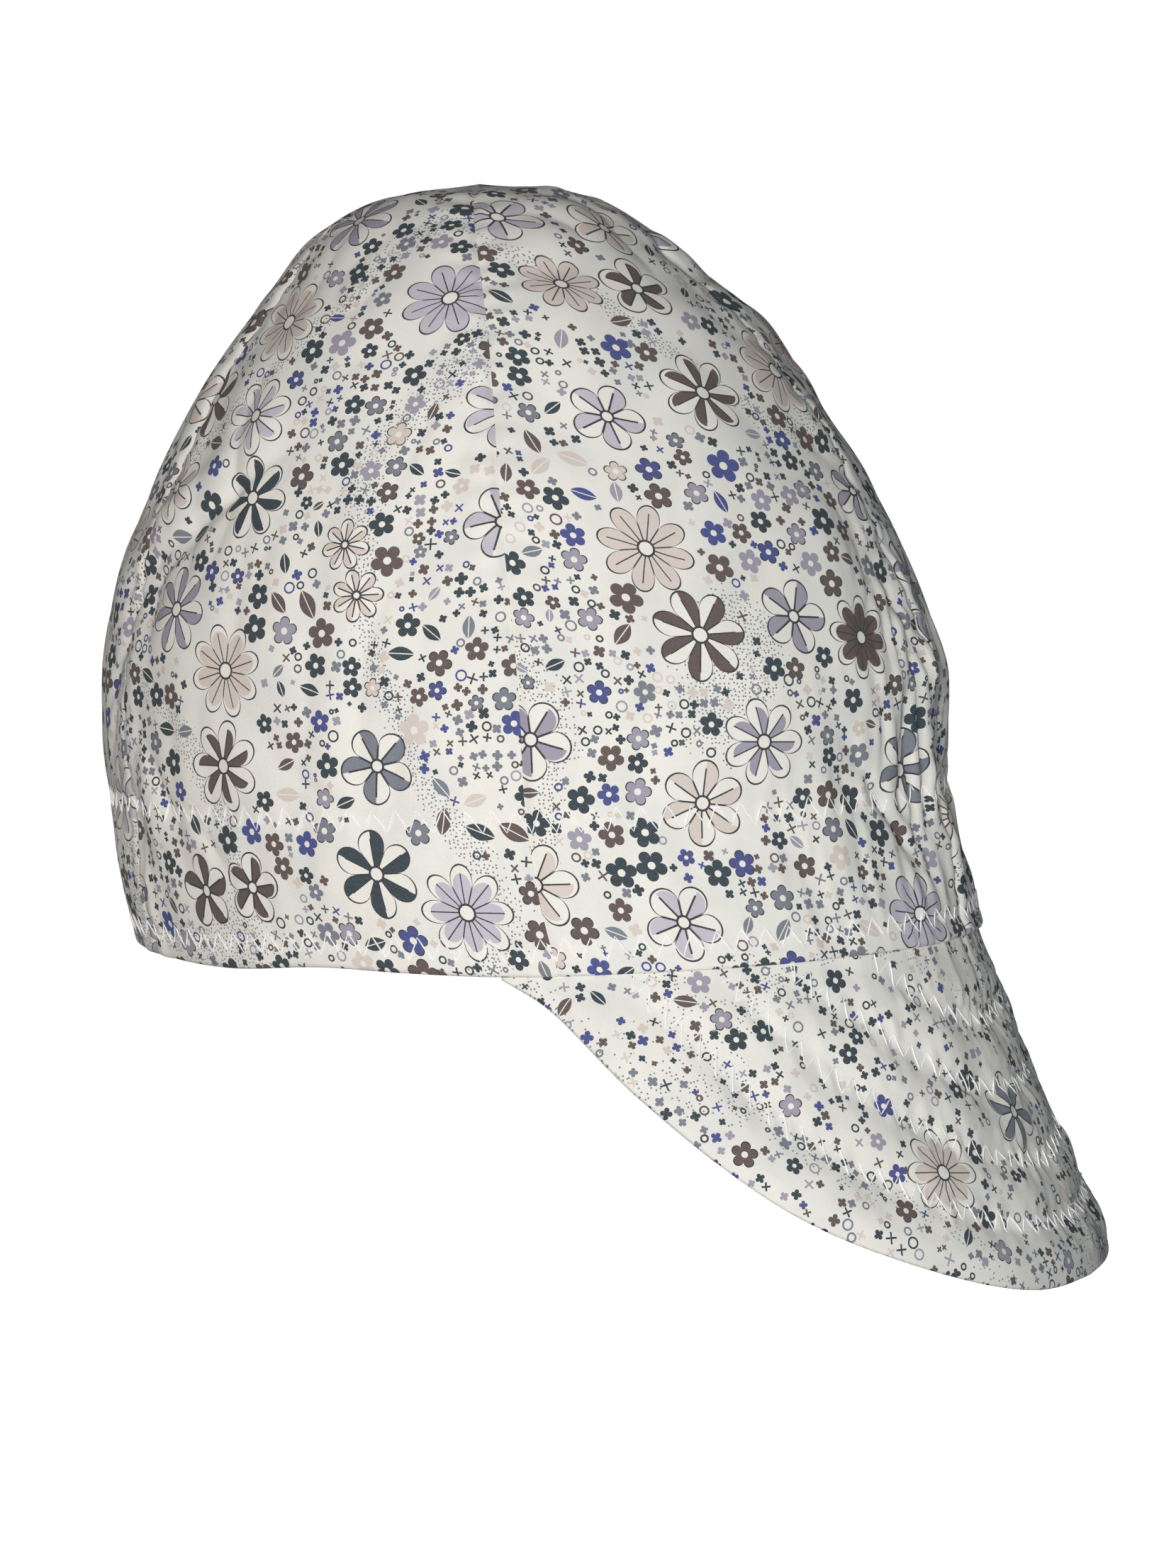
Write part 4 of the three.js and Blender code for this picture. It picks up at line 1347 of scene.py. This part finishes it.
def stitch_tree():
    """A tree that sews a zigzag along a guide line that lies on a piece of cloth."""
    tree = bpy.data.node_groups.new("zigzag_stitches", "GeometryNodeTree")
    sockets = {
        "Guide": "NodeSocketGeometry",
        "Cloth": "NodeSocketObject",
        "Pitch": "NodeSocketFloat",
        "Width": "NodeSocketFloat",
        "Lean": "NodeSocketFloat",
        "Thread": "NodeSocketFloat",
        "Bow": "NodeSocketFloat",
        "Unevenness": "NodeSocketFloat",
        "Seed": "NodeSocketInt",
        "Material": "NodeSocketMaterial",
    }
    for name, kind in sockets.items():
        tree.interface.new_socket(name, in_out="INPUT", socket_type=kind)
    tree.interface.new_socket("Stitches", in_out="OUTPUT", socket_type="NodeSocketGeometry")
    given = add(tree, "NodeGroupInput").outputs
    outward = add(tree, "GeometryNodeInputNamedAttribute", "outward", data_type="FLOAT_VECTOR")
    line = add(tree, "GeometryNodeMeshToCurve", given["Guide"])
    half = add(tree, "ShaderNodeMath", given["Pitch"], 2, operation="DIVIDE")
    line = add(tree, "GeometryNodeResampleCurve", {"Curve": line, "Length": half}, mode="LENGTH")
    index = add(tree, "GeometryNodeInputIndex")
    odd = add(tree, "ShaderNodeMath", index, 2, operation="MODULO")
    # A leg runs from -1 at one needle hole to 1 at the next.
    leg = add(tree, "ShaderNodeMath", odd, 2, -1, operation="MULTIPLY_ADD")
    tangent = add(tree, "GeometryNodeInputTangent")
    across = add(tree, "ShaderNodeVectorMath", tangent, outward, operation="CROSS_PRODUCT")
    across = add(tree, "ShaderNodeVectorMath", across, operation="NORMALIZE")
    moves = []
    for size, direction in (("Width", across), ("Lean", tangent)):
        half_size = add(tree, "ShaderNodeMath", given[size], 2, operation="DIVIDE")
        move = {"Scale": add(tree, "ShaderNodeMath", half_size, leg, operation="MULTIPLY")}
        moves.append(add(tree, "ShaderNodeVectorMath", direction, move, operation="SCALE"))
    swing = add(tree, "ShaderNodeVectorMath", *moves, operation="ADD")
    # A needle hole lies out of its place by up to the unevenness, each way.
    stray = {"Min": (1, 1, 1), "Max": (-1, -1, -1), "Seed": given["Seed"]}
    stray = add(tree, "FunctionNodeRandomValue", stray, data_type="FLOAT_VECTOR")
    uneven = {"Scale": given["Unevenness"]}
    stray = add(tree, "ShaderNodeVectorMath", stray, uneven, operation="SCALE")
    moved = add(tree, "ShaderNodeVectorMath", swing, stray, operation="ADD")
    kept = {"Geometry": line, "Name": "leg", "Value": leg}
    line = add(tree, "GeometryNodeStoreNamedAttribute", kept, data_type="FLOAT", domain="POINT")
    line = add(tree, "GeometryNodeSetPosition", {"Geometry": line, "Offset": moved})
    cuts = 3
    line = add(tree, "GeometryNodeSubdivideCurve", {"Curve": line, "Cuts": cuts})
    # Every second leg is pulled tight and sinks into the cloth.
    number = add(tree, "GeometryNodeSplineParameter").outputs["Index"]
    number = add(tree, "ShaderNodeMath", number, cuts + 1, operation="DIVIDE")
    number = add(tree, "ShaderNodeMath", number, operation="FLOOR")
    tight = add(tree, "ShaderNodeMath", number, 2, operation="MODULO")
    stands = add(tree, "ShaderNodeMapRange", tight, 0.0, 1.0, *STANDS)
    thick = add(tree, "ShaderNodeMapRange", tight, 0.0, 1.0, *LOOKS)
    part = add(tree, "GeometryNodeInputNamedAttribute", "leg", data_type="FLOAT")
    square = add(tree, "ShaderNodeMath", part, part, operation="MULTIPLY")
    middle = add(tree, "ShaderNodeMath", 1, square, operation="SUBTRACT")
    cloth = add(tree, "GeometryNodeObjectInfo", given["Cloth"], transform_space="RELATIVE")
    near = add(tree, "GeometryNodeProximity", cloth.outputs["Geometry"], target_element="FACES")
    lift = add(tree, "ShaderNodeMath", middle, stands, -HOLE_DEPTH, operation="MULTIPLY_ADD")
    lift = add(tree, "ShaderNodeMath", lift, given["Thread"], operation="MULTIPLY")
    lifted = add(tree, "ShaderNodeVectorMath", outward, {"Scale": lift}, operation="SCALE")
    bow = add(tree, "ShaderNodeMath", middle, given["Bow"], operation="MULTIPLY")
    bow_along = add(tree, "ShaderNodeVectorMath", across, outward, operation="CROSS_PRODUCT")
    bowed = add(tree, "ShaderNodeVectorMath", bow_along, {"Scale": bow}, operation="SCALE")
    placed = add(tree, "ShaderNodeVectorMath", near.outputs["Position"], lifted, operation="ADD")
    placed = add(tree, "ShaderNodeVectorMath", placed, bowed, operation="ADD")
    line = add(tree, "GeometryNodeSetPosition", {"Geometry": line, "Position": placed})
    line = add(tree, "GeometryNodeSetCurveRadius", {"Curve": line, "Radius": thick})
    radius = add(tree, "ShaderNodeMath", given["Thread"], 2, operation="DIVIDE")
    section = {"Resolution": THREAD_SIDES, "Radius": radius}
    section = add(tree, "GeometryNodeCurvePrimitiveCircle", section, mode="RADIUS")
    thread = {"Curve": line, "Profile Curve": section.outputs["Curve"], "Fill Caps": True}
    thread = add(tree, "GeometryNodeCurveToMesh", thread)
    thread = add(tree, "GeometryNodeSetShadeSmooth", thread)
    thread = add(tree, "GeometryNodeRealizeInstances", thread)
    thread = add(tree, "GeometryNodeSetMaterial", {"Geometry": thread, "Material": given["Material"]})
    add(tree, "NodeGroupOutput", thread)
    return tree


def guide_object(name, lines):
    """Guide lines as a mesh of edges, with the cloth's outward direction at each point."""
    points = np.concatenate([line for line, _, _ in lines])
    outward = np.concatenate([normal for _, normal, _ in lines])
    edges = []
    start = 0
    for line, _, closed in lines:
        count = len(line)
        edges += [(start + place, start + place + 1) for place in range(count - 1)]
        if closed:
            edges.append((start + count - 1, start))
        start += count
    mesh = bpy.data.meshes.new(name)
    mesh.from_pydata(points.tolist(), edges, [])
    attribute = mesh.attributes.new("outward", "FLOAT_VECTOR", "POINT")
    attribute.data.foreach_set("vector", outward.astype(np.float32).ravel())
    guide = bpy.data.objects.new(name, mesh)
    bpy.context.scene.collection.objects.link(guide)
    return guide


def sew(name, lines, cloth, kind, seed):
    """Sews rows of zigzag along guide lines on a piece of cloth and ties them to the cap. The
    stitch tree runs on the guide and leaves the thread as its plain mesh."""
    stitch = sizes("cap_stitches")
    values = {
        "Cloth": cloth,
        "Pitch": getattr(stitch, f"{kind}_pitch"),
        "Width": getattr(stitch, f"{kind}_width"),
        "Lean": getattr(stitch, f"{kind}_lean"),
        "Thread": stitch.thread,
        "Bow": stitch.bow,
        "Unevenness": stitch.stray,
        "Seed": seed,
        "Material": bpy.data.materials.get("spun_polyester_thread") or spun_thread(),
    }
    guide = guide_object(name, lines)
    tree = bpy.data.node_groups.get("zigzag_stitches") or stitch_tree()
    modifier = guide.modifiers.new("stitches", "NODES")
    modifier.node_group = tree
    for item in tree.interface.items_tree:
        if item.in_out == "INPUT" and item.name in values:
            modifier[item.identifier] = values[item.name]
    bpy.context.view_layer.update()
    evaluated = guide.evaluated_get(bpy.context.evaluated_depsgraph_get())
    mesh = bpy.data.meshes.new_from_object(evaluated)
    guide.modifiers.remove(modifier)
    guide.data = mesh
    for attribute in ("outward", "leg"):
        if attribute in mesh.attributes:
            mesh.attributes.remove(mesh.attributes[attribute])
    declare(guide, "sewing_thread")


def joined_copy(name, pieces):
    """One object with the meshes of several, for the stitches to lie on."""
    form = bmesh.new()
    for piece in pieces:
        form.from_mesh(piece.data)
    mesh = bpy.data.meshes.new(name)
    form.to_mesh(mesh)
    form.free()
    copy = bpy.data.objects.new(name, mesh)
    bpy.context.scene.collection.objects.link(copy)
    return copy


# Pieces


# Where the cut edge of the cloth turned under lies beside a seam, inside the crown, and how far
# above the band it shows in full.
ALLOWANCE_CUT = (0.0066, 0.0076)
BAND_CLEAR = 0.006


def hem_meeting(up):
    """How far the gores and the band come towards each other at the hem's fold."""
    return HEM_CLOSING * sizes("cap_hem").gap * (1 - smoothstep(up, 0, HEM_CLOSING_REACH))


def hem_roll(up, thickness):
    """How far the cloth rolls under at the hem's fold."""
    part = 1 - np.clip(up / thickness, 0, 1)
    return thickness * (1 - np.sqrt(np.clip(1 - part**2, 0, 1))) * HEM_ROUND


class CAP_OT_gores(bpy.types.Operator):
    """Cut and sew the five gores of the crown"""

    bl_idname = "cap.gores"
    bl_label = "Crown gores"

    def execute(self, context):
        crown = sizes("cap_crown")
        hem = sizes("cap_hem")
        outer_cloth = printed_cotton("printed_cotton")
        wrong_side = printed_cotton("printed_cotton_wrong_side", faded=0.55)
        height = cloth_height()
        up = stations(height - crown.top_gap, crown.mesh_step, EDGE_STEPS)
        along = (up / height)[:, None]
        edges = np.append(SEAMS, 360)
        for gore in range(len(SEAMS)):
            long, wide, _, _ = crown_level(0.0)
            middle = math.radians((edges[gore] + edges[gore + 1]) / 2)
            stretch = math.hypot(wide * math.cos(middle), long * math.sin(middle))
            hem_span = math.radians(edges[gore + 1] - edges[gore]) * stretch
            room = crown.seam_gap / hem_span
            part = stations(hem_span, crown.mesh_step, EDGE_STEPS) / hem_span
            part = room + part * (1 - 2 * room)
            angle = (edges[gore] + part * (edges[gore + 1] - edges[gore]))[None, :]
            angle, climb = np.broadcast_arrays(angle, along)
            outer, _ = crown_skin(angle, climb, hem_roll(climb * height, crown.thickness))
            away, _ = seam_distance(angle, climb)
            folded = crown.allowance_step * (1 - smoothstep(away, *ALLOWANCE_CUT))
            folded = folded * smoothstep(climb * height, hem.depth, hem.depth + BAND_CLEAR)
            meet = hem_meeting(climb * height)
            inner, _ = crown_skin(angle, climb, crown.thickness + folded + meet)
            cut = (CUTS["across"][gore], CUTS["along"][gore], CUTS["turn"][gore])
            laid = smooth_crown(angle, climb)
            uvs = laid_out(laid, up[:, None], cut)
            name = f"crown_gore_{gore + 1}"
            made = wall(outer, inner, uvs, uvs)
            piece = make_piece(f"{name}_cloth", *made, [outer_cloth, wrong_side])
            declare(piece, "crown_cotton", name)
        return {"FINISHED"}


class CAP_OT_hem(bpy.types.Operator):
    """Turn up the hem inside the crown"""

    bl_idname = "cap.hem"
    bl_label = "Turned-up hem"

    def execute(self, context):
        crown = sizes("cap_crown")
        hem = sizes("cap_hem")
        outer_cloth = bpy.data.materials["printed_cotton"]
        height = cloth_height()
        up = stations(hem.depth, hem.mesh_step, HEM_EDGE_STEPS)
        around = 2 * math.pi * mean_radius()
        count = round(around / crown.mesh_step)
        angle = np.linspace(0, 360, count, endpoint=False)[None, :]
        angle, climb = np.broadcast_arrays(angle, (up / height)[:, None])
        cover = band_cover(angle, climb)
        outer, _ = crown_skin(angle, climb, cover - hem_meeting(climb * height))
        low = hem_roll(climb * height, hem.thickness)
        high = hem_roll(hem.depth - climb * height, hem.thickness) * BAND_ROUND
        away, _ = seam_distance(angle, climb)
        crease = hem.seam_crease * bell(away, 0, hem.crease_width)
        inner, _ = crown_skin(angle, climb, cover + hem.thickness - crease - low - high)
        across = np.radians(angle) * around / (2 * math.pi) / MM + BAND_CUT[0]
        flat = np.stack([across, BAND_CUT[1] - climb * height / MM], axis=-1)
        points, faces, uvs, sides = wall(outer, inner, flat, flat, closed_round=True)
        piece = make_piece("hem_band_cloth", points, faces, uvs, 0 * sides, [outer_cloth])
        declare(piece, "band_cotton", "hem_band")
        flat = (around, hem.depth)
        return {"FINISHED"}


def bill_grid():
    """Angles and levels of the bill's mesh: the cloth below the hem and the way to the rim."""
    bill = sizes("cap_bill")
    half = math.degrees(bill.span / 2)
    columns = round(bill.span * mean_radius() / bill.mesh_step)
    angle = np.linspace(-half, half, columns + 1)
    # Only the rim turns over, so the close steps at the other end are left out.
    level = 1 - stations(bill.length, bill.mesh_step, RIM_STEPS)[: 1 - len(RIM_STEPS)] / bill.length
    level = np.append(level, 0)
    angle, level = np.broadcast_arrays(angle[None, :], level[:, None])
    down = level * bill_length(angle)
    return angle, down


class CAP_OT_bill(bpy.types.Operator):
    """Quilt the padded bill"""

    bl_idname = "cap.bill"
    bl_label = "Bill"

    def execute(self, context):
        bill = sizes("cap_bill")
        cloth = printed_cotton("printed_cotton_barer", shares=BILL_SHARES)
        angle, down = bill_grid()
        from_rim = bill_length(angle) - down
        tongue = -TONGUE_LEVELS[:, None] * bill.tongue
        tongue = np.broadcast_to(tongue, (len(tongue), angle.shape[1]))
        angle = np.vstack([angle, 0 * tongue + angle[:1]])
        down = np.vstack([down, tongue])
        from_rim = np.vstack([from_rim, bill.edge_roll - tongue])
        outer, _ = bill_skin(angle, down, from_rim, inside=False)
        inner, _ = bill_skin(angle, down, from_rim, inside=True)
        fan = BILL_FAN * MM
        round_fan = np.radians(angle) * mean_radius() / fan
        spread = np.stack([np.sin(round_fan), np.cos(round_fan)], axis=-1)
        flat = cut_from((fan + down)[..., None] * spread, BILL_CUT)
        points, faces, uvs, sides = wall(outer, inner, flat, flat + UNDERSIDE_CUT)
        piece = make_piece("bill_cloth", points, faces, uvs, 0 * sides, [cloth])
        declare(piece, "bill_cotton", "bill")
        return {"FINISHED"}


def row_depth(angle, inset, rounds=6):
    """How far below the hem a row of quilting lies, at a distance inside the rim."""
    down = bill_length(angle) - inset
    for _ in range(rounds):
        down = down + (rim_distance(angle, down) - inset)
    return down


class CAP_OT_hem_stitches(bpy.types.Operator):
    """Sew the two zigzag rows round the crown"""

    bl_idname = "cap.hem_stitches"
    bl_label = "Hem stitches"

    def execute(self, context):
        hem = sizes("cap_hem")
        gores = [f"crown_gore_{number}_cloth" for number in range(1, len(SEAMS) + 1)]
        crown_form = joined_copy("crown_form", [bpy.data.objects[gore] for gore in gores])
        band = bpy.data.objects["hem_band_cloth"]
        angle = np.arange(0, 360, HEM_GUIDE_STEP)
        for name, cloth, inside in (("outside", crown_form, False), ("inside", band, True)):
            lines = []
            for row in HEM_ROWS:
                along = np.full_like(angle, row * MM / cloth_height())
                depth = band_cover(angle, along) + hem.thickness if inside else 0 * angle
                points, normal = crown_skin(angle, along, depth)
                lines.append((points, -normal if inside else normal, True))
            sew(f"hem_stitches_{name}", lines, cloth, "hem", SEEDS["hem"] + inside)
        bpy.data.objects.remove(crown_form)
        return {"FINISHED"}


class CAP_OT_bill_stitches(bpy.types.Operator):
    """Sew the zigzag rows that quilt the bill"""

    bl_idname = "cap.bill_stitches"
    bl_label = "Bill stitches"

    def execute(self, context):
        cloth = bpy.data.objects["bill_cloth"]
        half = math.degrees(sizes("cap_bill").span / 2)
        angle = np.linspace(-half, half, BILL_GUIDE_POINTS)
        for name, inside in (("outside", False), ("underside", True)):
            lines = []
            for row in range(len(QUILT_ROWS["front"])):
                down = row_depth(angle, row_inset(row, angle))
                kept = down > ROW_END * MM
                places = angle[kept]
                down = down[kept]
                points, normal = bill_skin(places, down, bill_length(places) - down, inside)
                lines.append((points, normal, False))
            sew(f"bill_stitches_{name}", lines, cloth, "bill", SEEDS["bill"] + inside)
        return {"FINISHED"}


class CAP_OT_stage(bpy.types.Operator):
    """Set the floor, the lights and the camera"""

    bl_idname = "cap.stage"
    bl_label = "Stage"

    def execute(self, context):
        floor = make_piece(
            "floor",
            np.array([(x, y, 0) for x, y in ((-1, -1), (1, -1), (1, 1), (-1, 1))]) * FLOOR_REACH
            - np.array([0, 0, FLOOR_DROP]),
            np.array([(0, 1, 2, 3)]),
            materials=[paper_floor()],
        )
        floor.visible_diffuse = False
        floor.visible_glossy = False
        azimuth = math.radians(VIEW["azimuth"])
        elevation = math.radians(VIEW["elevation"])
        roll = math.radians(VIEW["roll"])
        back = Vector((
            -math.sin(azimuth) * math.cos(elevation),
            -math.cos(azimuth) * math.cos(elevation),
            math.sin(elevation),
        ))
        right = Vector((math.cos(azimuth), -math.sin(azimuth), 0))
        up = back.cross(right)
        target = Vector((0, 0, VIEW["target"]))
        data = bpy.data.cameras.new("camera")
        data.lens = VIEW["lens"]
        camera = bpy.data.objects.new("camera", data)
        context.scene.collection.objects.link(camera)
        place = target + back * VIEW["distance"]
        aim = target + right * VIEW["aim_right"] + up * VIEW["aim_up"]
        toward = (place - aim).normalized()
        level = up.cross(toward).normalized()
        upright = toward.cross(level)
        side = level * math.cos(roll) - upright * math.sin(roll)
        top = level * math.sin(roll) + upright * math.cos(roll)
        turned = Matrix((side, top, toward)).transposed().to_4x4()
        camera.matrix_world = Matrix.Translation(place) @ turned
        context.scene.camera = camera

        for name, lamp in LAMPS.items():
            light = bpy.data.lights.new(name, "AREA")
            light.shape = "DISK"
            light.size = lamp["size"]
            light.energy = lamp["power"]
            light.color = lamp["tint"]
            holder = bpy.data.objects.new(name, light)
            stand = right * lamp["right"] + up * lamp["up"] + back * lamp["toward"]
            holder.location = target + stand
            holder.rotation_euler = (-stand).to_track_quat("-Z", "Y").to_euler()
            context.scene.collection.objects.link(holder)

        # The inks and the cloth show as their own colours under the plain view.
        context.scene.view_settings.view_transform = "Standard"
        world = bpy.data.worlds.new("studio")
        context.scene.world = world
        world.use_nodes = True
        tree = world.node_tree
        tree.nodes.clear()
        seen = add(tree, "ShaderNodeBackground", {"Color": (1, 1, 1, 1), "Strength": 1.0})
        lit = add(tree, "ShaderNodeBackground", {"Color": (0.97, 0.98, 1, 1), "Strength": ROOM_LIGHT})
        ray = add(tree, "ShaderNodeLightPath").outputs["Is Camera Ray"]
        mixed = add(tree, "ShaderNodeMixShader", ray, lit, seen)
        add(tree, "ShaderNodeOutputWorld", mixed)
        return {"FINISHED"}


PIECES = (
    CAP_OT_gores,
    CAP_OT_hem,
    CAP_OT_bill,
    CAP_OT_hem_stitches,
    CAP_OT_bill_stitches,
    CAP_OT_stage,
)


class CAP_PT_sidebar(bpy.types.Panel):
    """Sizes, colours and pieces of the cap"""

    bl_idname = "CAP_PT_sidebar"
    bl_label = "Welding cap"
    bl_space_type = "VIEW_3D"
    bl_region_type = "UI"
    bl_category = "Welding cap"

    def draw(self, context):
        for piece in PIECES:
            self.layout.operator(piece.bl_idname)
        for name, group in GROUPS.items():
            box = self.layout.box()
            box.label(text=group.__doc__)
            for key in group.__annotations__:
                box.prop(getattr(context.scene, name), key)


def register():
    for group in GROUPS.values():
        bpy.utils.register_class(group)
    for piece in (*PIECES, CAP_PT_sidebar):
        bpy.utils.register_class(piece)
    for name, group in GROUPS.items():
        setattr(bpy.types.Scene, name, bpy.props.PointerProperty(type=group))


def unregister():
    for name in GROUPS:
        delattr(bpy.types.Scene, name)
    for piece in (*PIECES, CAP_PT_sidebar):
        bpy.utils.unregister_class(piece)
    for group in GROUPS.values():
        bpy.utils.unregister_class(group)


def main():
    """Builds the cap and its stage."""
    register()
    for piece in PIECES:
        group, name = piece.bl_idname.split(".")
        getattr(getattr(bpy.ops, group), name)()


if __name__ == "__main__":
    main()
